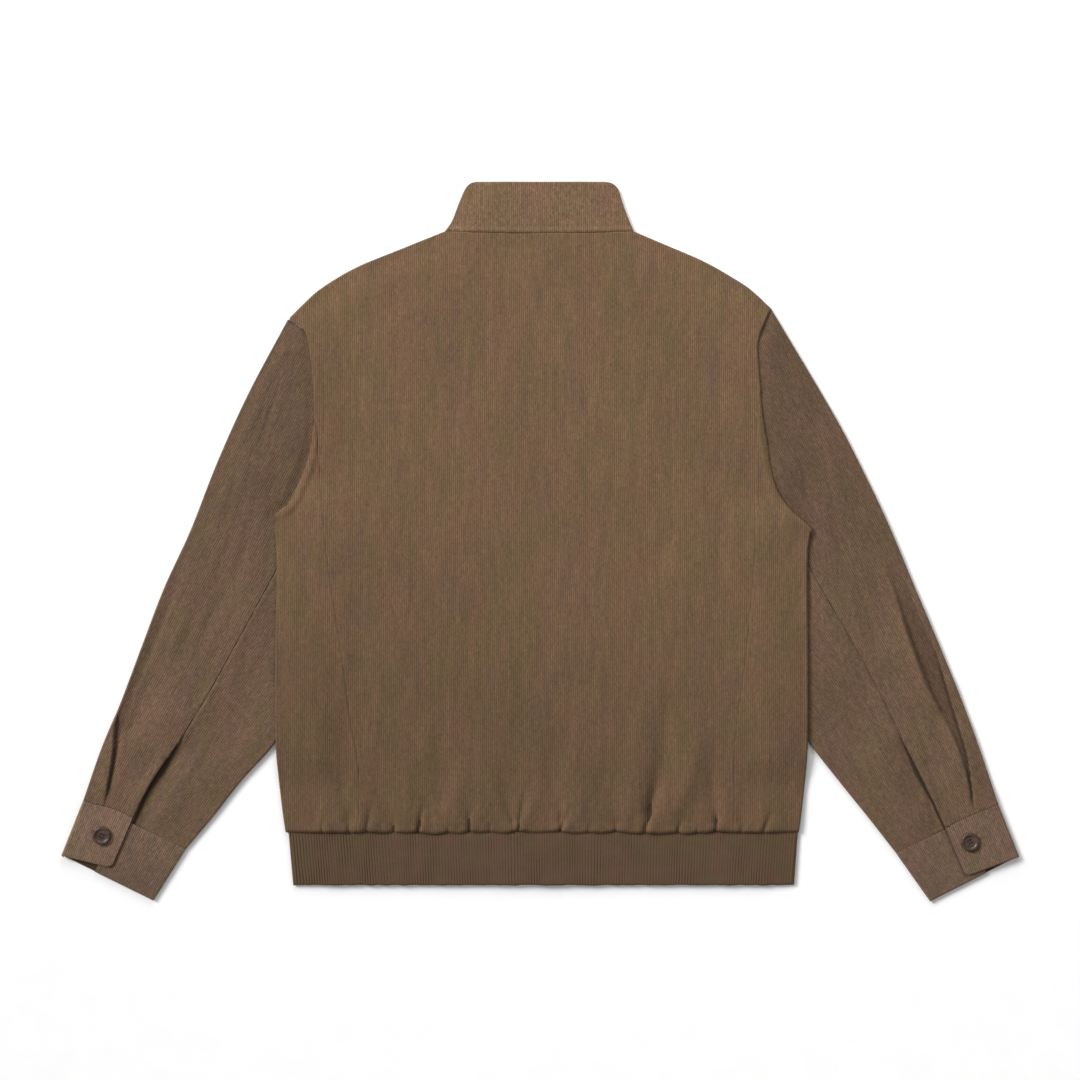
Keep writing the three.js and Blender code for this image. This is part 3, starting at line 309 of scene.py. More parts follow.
def curve(pairs):
    """A smooth curve through pairs whose first numbers rise."""
    x, y = np.array(pairs, float).T
    last = len(x) - 1
    before = np.maximum(np.arange(last + 1) - 1, 0)
    after = np.minimum(np.arange(last + 1) + 1, last)
    slopes = (y[after] - y[before]) / (x[after] - x[before])

    def at(value):
        value = np.asarray(value, float)
        i = np.clip(np.searchsorted(x, value) - 1, 0, last - 1)
        span = x[i + 1] - x[i]
        t = np.clip((value - x[i]) / span, 0, 1)
        ends = t * (1 - t) ** 2 * slopes[i] + t * t * (t - 1) * slopes[i + 1]
        return lerp(y[i], y[i + 1], t * t * (3 - 2 * t)) + span * ends

    return at


def distance(x, y, line):
    """Least distance from points to an open line of points, and the share of the line passed there."""
    line = np.array(line, float)
    best = np.full(np.shape(x), np.inf)
    share = np.zeros(np.shape(x))
    lengths = np.hypot(*np.diff(line, axis=0).T)
    total = lengths.sum()
    passed = 0.0
    for start, step, length in zip(line[:-1], np.diff(line, axis=0), lengths):
        t = np.clip(((x - start[0]) * step[0] + (y - start[1]) * step[1]) / length**2, 0, 1)
        away = np.hypot(x - start[0] - t * step[0], y - start[1] - t * step[1])
        share = np.where(away < best, (passed + t * length) / total, share)
        best = np.minimum(best, away)
        passed += length
    return best, share


def roll(away, radius):
    """How far a rounded edge of that radius drops, at a distance from its end."""
    inside = radius - np.clip(away, 0, radius)
    return radius - np.sqrt(np.maximum(radius**2 - inside**2, 0))


class Ripple:
    """A smooth random field with waves of about the given sizes, from -1 to 1 for the most part."""

    def __init__(self, seed, across, along, count=20):
        random = np.random.default_rng(seed)
        self.waves = random.normal(size=(count, 2)) * 2 * math.pi / np.array([across, along])
        self.phases = random.uniform(0, 2 * math.pi, count)

    def __call__(self, x, y):
        total = np.zeros(np.broadcast(x, y).shape)
        for (kx, ky), phase in zip(self.waves, self.phases):
            total += np.cos(kx * x + ky * y + phase)
        return total / math.sqrt(2 * len(self.phases))


for name, side in SIDES.items():
    side["name"] = name
    for key in ("edge", "armhole", "shoulder", "seam", "collar"):
        side[key + "_at"] = curve(side[key])
    side["tip"] = side["armhole"][0][0]
    side["point"] = side["shoulder"][0][0]
    side["join"] = side["seam"][-1][0]
    for key, low, high in (
        ("armhole", side["tip"], side["point"]),
        ("shoulder", side["point"], NECK),
        ("seam", HEM, side["join"]),
    ):
        heights = np.linspace(low, high, 40)
        side[key + "_line"] = [(side["sign"] * side[key + "_at"](y), y) for y in heights]

hem_nodes = [(-SIDES["left"]["seam"][0][1] - 30, HEM), (-SIDES["left"]["seam"][0][1], HEM)]
for (foot, draw, sag), following in zip(GATHERS, GATHERS[1:] + [None]):
    hem_nodes.append((foot, HEM + draw))
    if following is not None:
        hem_nodes.append(((foot + following[0]) / 2, HEM - sag))
hem_nodes += [(SIDES["right"]["seam"][0][1], HEM), (SIDES["right"]["seam"][0][1] + 30, HEM)]
hem_at = curve(hem_nodes)


def neck_at(x):
    return NECK - NECK_DIP * (1 - np.minimum((x / NECK_HALF) ** 2, 1))


def by_side(x, key):
    """A value that differs between the two sides, picked for each x."""
    return np.where(np.asarray(x) < 0, SIDES["left"][key], SIDES["right"][key])


def lift_at(x, y):
    tip = by_side(x, "tip")
    along = ramp(-262, -216, y) * (1 - ramp(tip + 2, tip + 42, y))
    return LIFT * along * (1 - ramp(38, 100, SIDE_EDGE - np.abs(x)))


def creased(x, y, creases):
    """Height that a table of creases adds. Each is a notch between two low ridges, broad and faint at
    its upper end and tight and deep at its foot."""
    total = np.zeros(np.broadcast(x, y).shape)
    for line, half, depth in creases:
        away, share = distance(x, y, line)
        fade = ramp(-0.12, 0.85, share)
        here = half * lerp(2.3, 0.9, share)
        total += depth * fade * (0.4 * hump(away - 2.6 * here, 2.2 * here) - hump(away, here))
    return total


body_ripple = Ripple(3, 55, 190)
fine_ripple = Ripple(4, 16, 34)
weave_ripple = Ripple(5, 38, 60)


def body_top(x, y):
    """Height of the outer face of the body's upper layer, without its edges."""
    tip = by_side(x, "tip")
    beside = SIDE_EDGE - np.abs(x)
    side_drop = (1 - ramp(tip - 15, tip + 30, y)) * (1 - ramp(0, 45, beside))
    shoulder_y = np.zeros(np.broadcast(x, y).shape)
    for side in SIDES.values():
        points = sorted((sx, sy) for sy, sx in side["shoulder"])
        here = np.interp(np.abs(x), [p[0] for p in points], [p[1] for p in points])
        shoulder_y = np.where(side["sign"] * x > 0, here, shoulder_y)
    below = (shoulder_y - y) * SHOULDER_SLANT
    neck_end = np.where(x < 0, SIDES["left"]["shoulder"][-1][1], SIDES["right"]["shoulder"][-1][1])
    shoulder_drop = (1 - ramp(2, 32, below)) * ramp(neck_end - 26, neck_end + 6, np.abs(x))
    drop = (BACK_TOP - EDGE_TOP) * np.maximum(side_drop, shoulder_drop)
    up = y - HEM
    rise = 1.5 * (1 - ramp(8, 60, up)) + 0.9 * hump(x, 22) * hump(y - 291.5, 26)
    for cx, cy, wide, long, lean, height in SWELLS:
        rise = rise + height * hump(x - cx - lean * (y - cy), wide) * hump(y - cy, long)
    rise = rise + 0.45 * body_ripple(x, y) + 0.1 * fine_ripple(x, y)
    return BACK_TOP - drop + lift_at(x, y) + rise + creased(x, y, CREASES)


def seam_shift(x, level):
    near_hem = 1 - ramp(HEM, HEM + 30, level)
    return (hem_at(x) - HEM) * near_hem + (neck_at(x) - NECK) * ramp(NECK - 33, NECK, level)


def slope_normals(points):
    """Unit normals of a grid of points, and straight up or down where columns have run together."""
    across = np.gradient(points, axis=1)
    along = np.gradient(points, axis=0)
    normals = np.cross(across, along)
    lengths = np.linalg.norm(normals, axis=-1, keepdims=True)
    return np.where(lengths > 1e-6, normals / np.maximum(lengths, 1e-6), 0)


class Cloth:
    """A piece of cloth, made of grids of outer points. Each grid becomes a closed thin shell."""

    def __init__(self):
        self.points = []
        self.maps = []
        self.faces = []
        self.count = 0

    def add(self, outer, across, along, wave=0.0, wall=CLOTH, stride=1, normals=None, flip=False, hidden=0.0):
        """outer: grid of points, in rows. across and along: place on the cloth, for its weave.
        wave: height of its ridges. stride: the inner face has one column in that many.
        hidden: painted shade, from 0 on open cloth to 1 deep in a fold or slit. The inner face always gets
        full painted shade."""
        rows, columns = outer.shape[:2]
        if normals is None:
            normals = slope_normals(outer) * (-1 if flip else 1)
            lost = np.linalg.norm(normals, axis=-1) < 0.5
            normals[lost] = (0, 0, 1)
            normals[lost & (outer[..., 2] < 2.2)] = (0, 0, -1)
        picked = np.append(np.arange(0, columns - 1, stride), columns - 1)
        inner = (outer - normals * wall)[:, picked]
        outer = outer + normals * np.broadcast_to(wave, (rows, columns))[..., None]
        across = np.broadcast_to(across, (rows, columns))
        along = np.broadcast_to(along, (rows, columns))
        maps = np.stack([across, along, np.broadcast_to(hidden, (rows, columns))], axis=-1)
        # The inner face is painted with full shade
        shaded_inner_maps = np.stack([across[:, picked], along[:, picked], np.ones(inner.shape[:2])], axis=-1)
        self.points += [outer.reshape(-1, 3), inner.reshape(-1, 3)]
        self.maps += [maps.reshape(-1, 3), shaded_inner_maps.reshape(-1, 3)]
        out = self.count + np.arange(rows * columns).reshape(rows, columns)
        into = self.count + rows * columns + np.arange(rows * len(picked)).reshape(rows, -1)
        self.count += rows * (columns + len(picked))
        quads = [
            np.stack([out[:-1, :-1], out[:-1, 1:], out[1:, 1:], out[1:, :-1]], -1),
            np.stack([into[:-1, :-1], into[1:, :-1], into[1:, 1:], into[:-1, 1:]], -1),
            np.stack([out[:-1, 0], out[1:, 0], into[1:, 0], into[:-1, 0]], -1),
            np.stack([out[1:, -1], out[:-1, -1], into[:-1, -1], into[1:, -1]], -1),
        ]
        for row, turn in ((0, False), (-1, True)):
            for k, (start, end) in enumerate(zip(picked[:-1], picked[1:])):
                middle = (start + end) // 2
                fan = [(out[row, c + 1], out[row, c], into[row, k]) for c in range(start, middle)]
                fan += [(out[row, c + 1], out[row, c], into[row, k + 1]) for c in range(middle, end)]
                fan += [(out[row, middle], into[row, k], into[row, k + 1])]
                for a, b, c in fan:
                    quads.append(np.array([(c, b, a, a) if turn else (a, b, c, c)]))
        faces = np.concatenate([q.reshape(-1, 4) for q in quads])
        self.faces.append(faces[:, ::-1] if flip else faces)

    def mesh(self, name, smooth_to=70):
        points = np.concatenate(self.points)
        maps = np.concatenate(self.maps)
        faces = np.concatenate(self.faces)
        _, first, number = np.unique(
            np.round(points, 4), axis=0, return_index=True, return_inverse=True
        )
        number = number.reshape(-1)
        points, maps, faces = points[first], maps[first], number[faces]
        following = np.roll(faces, -1, axis=1)
        same = faces == following
        crossed = (faces[:, 0] == faces[:, 2]) | (faces[:, 1] == faces[:, 3])
        whole = ~crossed & (same.sum(1) == 0)
        three = ~crossed & (same.sum(1) == 1)
        shapes = faces[whole].tolist()
        for face, gone in zip(faces[three], same[three]):
            shapes.append(face[~gone].tolist())
        mesh = bpy.data.meshes.new(name)
        mesh.from_pydata((points * MM).tolist(), [], shapes)
        mesh.validate()
        mesh.polygons.foreach_set("use_smooth", np.ones(len(mesh.polygons), bool))
        kept = mesh.attributes.new("cloth", "FLOAT_VECTOR", "POINT")
        if len(mesh.vertices) == len(maps):
            kept.data.foreach_set("vector", maps.astype(np.float32).ravel())
        mesh.set_sharp_from_angle(angle=math.radians(smooth_to))
        mesh.update()
        return mesh


def place(name, mesh, material, slot=None, body="jacket", replaces=()):
    piece = bpy.data.objects.new(name, mesh)
    bpy.context.scene.collection.objects.link(piece)
    piece.data.materials.clear()
    piece.data.materials.append(material)
    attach(piece, body)
    if replaces:
        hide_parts(*replaces)
    return piece


# Materials
class Nodes:
    """Short names for building a material's nodes."""

    def __init__(self, name):
        self.material = bpy.data.materials.new(name)
        self.material.use_nodes = True
        self.tree = self.material.node_tree
        self.tree.nodes.clear()
        self.output = self.tree.nodes.new("ShaderNodeOutputMaterial")
        self.shader = self.tree.nodes.new("ShaderNodeBsdfPrincipled")
        self.tree.links.new(self.shader.outputs[0], self.output.inputs[0])

    def link(self, value, socket):
        if isinstance(value, bpy.types.NodeSocket):
            self.tree.links.new(value, socket)
        else:
            socket.default_value = value

    def math(self, kind, *values):
        node = self.tree.nodes.new("ShaderNodeMath")
        node.operation = kind
        for value, socket in zip(values, node.inputs):
            self.link(value, socket)
        return node.outputs[0]

    def ramp(self, value, low, high, to_low=0.0, to_high=1.0):
        node = self.tree.nodes.new("ShaderNodeMapRange")
        node.interpolation_type = "SMOOTHSTEP"
        for item, socket in zip((value, low, high, to_low, to_high), node.inputs):
            self.link(item, socket)
        return node.outputs[0]

    def mix(self, share, first, second):
        node = self.tree.nodes.new("ShaderNodeMix")
        node.data_type = "RGBA"
        self.link(share, node.inputs[0])
        for value, socket in ((first, node.inputs[6]), (second, node.inputs[7])):
            self.link(value if isinstance(value, bpy.types.NodeSocket) else (*value, 1), socket)
        return node.outputs[2]

    def noise(self, place, scale, stretch=(1, 1, 1), detail=3.0, rough=0.55):
        mapping = self.tree.nodes.new("ShaderNodeMapping")
        mapping.inputs["Scale"].default_value = stretch
        self.link(place, mapping.inputs["Vector"])
        node = self.tree.nodes.new("ShaderNodeTexNoise")
        node.inputs["Scale"].default_value = scale
        node.inputs["Detail"].default_value = detail
        node.inputs["Roughness"].default_value = rough
        self.tree.links.new(mapping.outputs[0], node.inputs["Vector"])
        return node.outputs[0]

    def bump(self, height, size, strength=1.0, normal=None):
        node = self.tree.nodes.new("ShaderNodeBump")
        node.inputs["Strength"].default_value = strength
        node.inputs["Distance"].default_value = size
        self.link(height, node.inputs["Height"])
        if normal is not None:
            self.link(normal, node.inputs["Normal"])
        return node.outputs[0]

    def set(self, **values):
        for key, value in values.items():
            self.link(value, self.shader.inputs[key.replace("_", " ")])
        return self.material


def cloth_place(nodes):
    """Place on the cloth in millimetres, across and along its ridges, as vector and two numbers, and
    the painted shade on it, deep in a fold, slit or seam and on the inner face."""
    node = nodes.tree.nodes.new("ShaderNodeAttribute")
    node.attribute_name = "cloth"
    apart = nodes.tree.nodes.new("ShaderNodeSeparateXYZ")
    nodes.tree.links.new(node.outputs["Vector"], apart.inputs[0])
    return node.outputs["Vector"], apart.outputs[0], apart.outputs[1], apart.outputs[2]


def object_place(nodes):
    return nodes.tree.nodes.new("ShaderNodeTexCoord").outputs["Object"]


def corduroy(name, tone, painted_height_shade, grain=1.0):
    """Pile ridges with painted shade in the grooves between them. The nap is mottled in soft patches and
    streaks.
    The last argument gives two heights in metres and the brightness at each: painted light and shade that
    changes with height."""
    nodes = Nodes(name)
    place_on, across, _, hidden = cloth_place(nodes)
    space = object_place(nodes)
    ridge, dark = np.array(tone), 0.4 * np.array(tone)
    olive, russet, mauve = (
        tuple(ridge * shift) for shift in ((0.93, 1.0, 0.85), (1.07, 0.98, 1.0), (0.9, 0.9, 1.03))
    )
    turn = nodes.math("MULTIPLY", across, 2 * math.pi / WALE)
    crest = nodes.math("MULTIPLY_ADD", nodes.math("COSINE", turn), -0.5, 0.5)
    groove_shade = nodes.ramp(crest, 0.42, 0.0)
    patches = nodes.noise(space, 30, (1, 0.45, 1), 6, 0.72)
    others = nodes.noise(space, 48, (1, 0.4, 1), 6, 0.7)
    streaks = nodes.noise(place_on, 0.16, (1, 0.14, 1), 4, 0.6)
    colour = nodes.mix(nodes.ramp(patches, 0.4, 0.6), olive, russet)
    colour = nodes.mix(nodes.ramp(others, 0.5, 0.66, 0.0, 0.85), colour, mauve)
    colour = nodes.mix(nodes.ramp(streaks, 0.42, 0.62, 0.0, 0.45), colour, tuple(ridge * (1.08, 1.0, 0.97)))
    fibre = nodes.noise(place_on, 1.1, (1, 0.3, 1), 4, 0.7)
    worn = nodes.noise(place_on, 0.4, (1, 0.35, 1), 5, 0.7)
    cloudy = nodes.noise(space, 11, (1, 0.6, 1), 3, 0.55)
    shade = nodes.math("MULTIPLY_ADD", nodes.math("SUBTRACT", fibre, 0.5), 1.15 * grain, 1.0)
    for noise, amount in ((worn, 1.0 * grain), (streaks, 0.5), (cloudy, 0.35)):
        part = nodes.math("MULTIPLY_ADD", nodes.math("SUBTRACT", noise, 0.5), amount, 1.0)
        shade = nodes.math("MULTIPLY", shade, part)
    # Painted light and shade that changes with height, between the two given heights
    apart = nodes.tree.nodes.new("ShaderNodeSeparateXYZ")
    nodes.link(space, apart.inputs[0])
    shade = nodes.math("MULTIPLY", shade, nodes.ramp(apart.outputs[1], *painted_height_shade))
    toned = nodes.tree.nodes.new("ShaderNodeVectorMath")
    toned.operation = "SCALE"
    nodes.link(colour, toned.inputs[0])
    nodes.link(shade, toned.inputs["Scale"])
    # Painted shade in the grooves between the wales
    colour = nodes.mix(nodes.math("MULTIPLY", groove_shade, 0.7), toned.outputs[0], tuple(dark))
    # Painted shade in folds, slits and seams and on the inner face
    colour = nodes.mix(nodes.math("MULTIPLY", hidden, 0.85), colour, tuple(0.16 * ridge))
    normal = nodes.bump(fibre, 0.5 * MM, 0.8)
    return nodes.set(
        Base_Color=colour, Roughness=0.92, Specular_IOR_Level=0.18, Sheen_Weight=0.16,
        Sheen_Roughness=0.55, Sheen_Tint=(0.75, 0.62, 0.45, 1), Normal=normal,
    )


def rib_knit(name, tone):
    nodes = Nodes(name)
    place_on, across, along, _ = cloth_place(nodes)
    space = object_place(nodes)
    ridge, dark = np.array(tone), 0.5 * np.array(tone)
    turn = nodes.math("MULTIPLY", across, 2 * math.pi / RIB_PITCH)
    crest = nodes.math("MULTIPLY_ADD", nodes.math("COSINE", turn), -0.5, 0.5)
    groove_shade = nodes.ramp(crest, 0.5, 0.05)
    # Each stitch is a V on the rib, so its two legs lean away from the rib's middle
    lean = nodes.math("ABSOLUTE", nodes.math("SINE", nodes.math("MULTIPLY", turn, 0.5)))
    rows = nodes.math("MULTIPLY_ADD", lean, 1.3, nodes.math("MULTIPLY", along, 2 * math.pi / 1.7))
    loops = nodes.math("MULTIPLY_ADD", nodes.math("SINE", rows), 0.5, 0.5)
    fuzz = nodes.noise(place_on, 0.9, (1, 0.6, 1), 4, 0.65)
    patches = nodes.noise(space, 30, (1, 1, 1), 4, 0.6)
    groove_shade_noise = nodes.noise(place_on, 0.035, (1, 1.6, 1), 5, 0.65)
    colour = nodes.mix(
        nodes.ramp(patches, 0.38, 0.62), tuple(ridge * (0.93, 1.03, 0.86)), tuple(ridge * (1.07, 0.97, 1.02))
    )
    # Painted shade in the grooves between the ribs, deeper in some places than in others
    depth = nodes.ramp(groove_shade_noise, 0.35, 0.65, 0.05, 0.7)
    colour = nodes.mix(nodes.math("MULTIPLY", groove_shade, depth), colour, tuple(dark))
    colour = nodes.mix(nodes.ramp(fuzz, 0.4, 0.7, 0.0, 0.35), colour, tuple(ridge * 1.45))
    height = nodes.math("MULTIPLY_ADD", loops, 0.5, nodes.math("MULTIPLY", fuzz, 0.5))
    normal = nodes.bump(height, 0.35 * MM, 0.7)
    return nodes.set(
        Base_Color=colour, Roughness=0.9, Specular_IOR_Level=0.2, Sheen_Weight=0.12,
        Sheen_Roughness=0.5, Sheen_Tint=(0.7, 0.58, 0.45, 1), Normal=normal,
    )


def plain_weave(name, colour, pitch=0.6):
    nodes = Nodes(name)
    space = object_place(nodes)
    waves = []
    apart = nodes.tree.nodes.new("ShaderNodeSeparateXYZ")
    nodes.link(space, apart.inputs[0])
    for axis in (0, 1):
        turn = nodes.math("MULTIPLY", apart.outputs[axis], 2 * math.pi / (pitch * MM))
        waves.append(nodes.math("SINE", turn))
    height = nodes.math("MULTIPLY", *waves)
    fuzz = nodes.noise(space, 900, (1, 1, 1), 2)
    shade = nodes.mix(
        nodes.ramp(fuzz, 0.3, 0.7), tuple(0.75 * c for c in colour), tuple(1.25 * c for c in colour)
    )
    return nodes.set(
        Base_Color=shade, Roughness=0.9, Specular_IOR_Level=0.2, Normal=nodes.bump(height, 0.15 * MM, 0.6)
    )


def horn_plastic(name, dark, light):
    nodes = Nodes(name)
    space = object_place(nodes)
    swirl = nodes.noise(space, 160, (1, 2.2, 1), 5, 0.6)
    scratch = nodes.noise(space, 1500, (1, 1, 1), 2)
    colour = nodes.mix(nodes.ramp(swirl, 0.35, 0.7), dark, light)
    return nodes.set(
        Base_Color=colour, Roughness=nodes.ramp(scratch, 0.2, 0.8, 0.32, 0.45), Specular_IOR_Level=0.38,
        Normal=nodes.bump(scratch, 0.02 * MM, 0.3),
    )


def aged_brass(name):
    nodes = Nodes(name)
    space = object_place(nodes)
    patina = nodes.noise(space, 700, (1, 1, 1), 4, 0.6)
    colour = nodes.mix(nodes.ramp(patina, 0.35, 0.65), (0.16, 0.1, 0.045), (0.36, 0.24, 0.1))
    return nodes.set(
        Base_Color=colour, Metallic=1.0, Roughness=nodes.ramp(patina, 0.3, 0.7, 0.3, 0.5),
        Normal=nodes.bump(patina, 0.03 * MM, 0.4),
    )


def sewing_thread(name, colour):
    nodes = Nodes(name)
    space = object_place(nodes)
    twist = nodes.noise(space, 2500, (1, 1, 1), 2)
    shade = nodes.mix(
        nodes.ramp(twist, 0.3, 0.7), tuple(0.8 * c for c in colour), tuple(1.2 * c for c in colour)
    )
    return nodes.set(Base_Color=shade, Roughness=0.7, Normal=nodes.bump(twist, 0.05 * MM, 0.5))


# The last tuple of each corduroy paints light and shade that changes with height
body_cloth = corduroy("body_corduroy", (0.163, 0.0985, 0.0555), (-0.27, 0.06, 0.82, 1.0), 1.15)
sleeve_cloth = corduroy("sleeve_corduroy", (0.152, 0.094, 0.059), (-0.2, 0.22, 1.0, 0.86), 1.65)
# The left cuff's copy of the corduroy is lighter than the right's: painted light
cuff_cloths = {
    "left": corduroy("cuff_left_corduroy_painted_light", (0.182, 0.117, 0.08), (-0.36, -0.3, 0.95, 1.14), 1.7),
    "right": corduroy("cuff_right_corduroy", (0.16, 0.103, 0.071), (-0.38, -0.3, 0.96, 1.06), 1.7),
}
collar_cloth = corduroy("collar_corduroy", (0.18, 0.11, 0.064), (-1.0, 1.0, 1.0, 1.0), 1.8)
rib_cloth = rib_knit("waistband_rib", (0.096, 0.0575, 0.0345))
tape_cloth = plain_weave("zip_tape_weave", (0.06, 0.04, 0.026))
button_plastic = horn_plastic("button_plastic", (0.038, 0.021, 0.015), (0.088, 0.049, 0.035))
brass = aged_brass("aged_brass")
thread = sewing_thread("sewing_thread", (0.17, 0.11, 0.07))
button_thread = sewing_thread("button_thread", (0.05, 0.035, 0.028))


EDGE_INSETS = np.array([0, 0.3, 0.75, 1.4, 2.3, 3.4])
SEAM_SHOWN = -0.06  # the pieces meet in the bottom of a seam


def wale_columns(low, high):
    step = WALE / WALE_SAMPLES
    return np.arange(math.ceil(low / step), math.floor(high / step) + 1) * step


def groove(across):
    """Height of the cloth's face at a place across its wales, with a narrow groove beside each."""
    away = np.abs((across / WALE + 0.5) % 1 - 0.5) * WALE
    return -WALE_DEPTH * np.maximum(1 - away * WALE_SAMPLES / WALE, 0)


def spread(low, high, columns, low_insets=EDGE_INSETS, high_insets=EDGE_INSETS):
    """Columns for each row: at fixed insets beside its two ends, and at the wales between them."""
    low, high = low[:, None], high[:, None]
    room = np.maximum(high - low, 0) / (low_insets[-1] + high_insets[-1] + WALE)
    lows = low + low_insets * np.minimum(room, 1)
    highs = high - high_insets[::-1] * np.minimum(room, 1)
    middle = np.clip(columns[None, :], lows[:, -1:], highs[:, :1])
    return np.concatenate([lows, middle, highs], axis=1)


def spaced(*stretches):
    """Rows from one height to the next, each stretch with its own step."""
    levels = [stretches[0][0]]
    for low, high, step in stretches:
        count = max(1, round(abs(high - low) / step))
        levels += list(np.linspace(low, high, count + 1)[1:])
    return np.array(levels)


def back_edge(side, y):
    armhole = np.where(y <= side["point"], side["armhole_at"](y), side["shoulder_at"](y))
    return np.where(y <= side["join"], side["seam_at"](y), armhole)


def side_drops(side, x, y):
    """How far the body's face drops at one side's seams, with the low ridges beside them."""
    arm, _ = distance(x, y, side["armhole_line"])
    seam, _ = distance(x, y, side["seam_line"])
    above = ramp(side["tip"] - 8, side["tip"] + 8, y)
    drop = (roll(arm, 2.0) - 1.2 * hump(arm - 5.5, 3.2) + 0.3 * hump(arm - 11.5, 2.0)) * above
    return drop + 0.36 * (1 - ramp(0, 0.9, seam)) - 0.16 * hump(seam - 2.4, 1.4)


def edge_drops(x, y):
    drop = np.zeros(x.shape)
    for side in SIDES.values():
        shoulder, _ = distance(x, y, side["shoulder_line"])
        here = np.maximum(side_drops(side, x, y), roll(shoulder, FOLD))
        drop = np.where(side["sign"] * x > 0, here, drop)
    hem = y - hem_at(x)
    neck = neck_at(x) - y
    return drop + roll(hem, 3.6) * 0.9 + np.where(np.abs(x) < NECK_HALF + 1, 0.5 * roll(neck, 1.0), 0)


def sway(x, y, free):
    """The wales wander a little, and lie true at the edges of the piece."""
    return (0.3 * weave_ripple(x, y) + 0.12 * fine_ripple(x, y)) * ramp(1, 9, free)


def make_back():
    left, right = SIDES["left"], SIDES["right"]
    levels = spaced((HEM, HEM + 54, 2.0), (HEM + 54, 195, 6.4), (195, NECK - 4, 3.2), (NECK - 4, NECK, 1.0))
    low = SEAM_SHOWN - back_edge(left, levels)
    high = back_edge(right, levels) - SEAM_SHOWN
    across = spread(low, high, wale_columns(-265, 243))
    level = np.broadcast_to(levels[:, None], across.shape)
    free = np.minimum(across - low[:, None], high[:, None] - across)
    x = across + sway(across, level, free)
    y = level + seam_shift(x, level)
    z = body_top(x, y) - edge_drops(x, y)
    up = np.zeros(x.shape + (3,))
    up[..., 2] = 1
    cloth = Cloth()
    outer = np.stack([x, y, np.maximum(z, 2.35)], -1)
    cloth.add(outer, across, y, groove(across), stride=12, normals=up)
    return place("back_panel", cloth.mesh("back_panel"), body_cloth, "corduroy_body", replaces=["back"])


def turned(degrees, radius=FOLD, centre=FOLD):
    """Inset from a folded edge and height of the outer face at an angle round the fold."""
    angle = np.radians(degrees)
    return radius - radius * np.cos(angle), centre + radius * np.sin(angle)


def front_outer(side, y):
    tuck = SHOULDER_INSET * ramp(side["point"] - 18, side["point"] - 7, y) * 1.6
    low = side["edge_at"](y) - FOLD
    middle = side["armhole_at"](y) - SEAM / 2 - tuck
    slope = (side["shoulder_at"](y + 2) - side["shoulder_at"](y - 2)) / 4
    high = side["shoulder_at"](y) - SHOULDER_INSET * np.hypot(1, slope)
    return np.where(y <= side["tip"], low, np.where(y <= side["point"], middle, high))


def collar_front(side, up, t):
    """Path of the collar's front half at a share of its height, without its sign."""
    fold = np.array([side["collar_at"](up) - FOLD, lerp(NECK, NECK + COLLAR_HEIGHT, up)])
    centre = np.array([FRONT_EDGE, FRONT_NECK + COLLAR_HEIGHT * up])
    turn = lerp(np.array([80.0, 262.0]), np.array([48.0, 316.0]), up)
    t = np.asarray(t)[..., None]
    return lerp(lerp(fold, turn, t), lerp(turn, centre, t), t)


FRONT_FOLDS = Ripple(21, 30, 120)


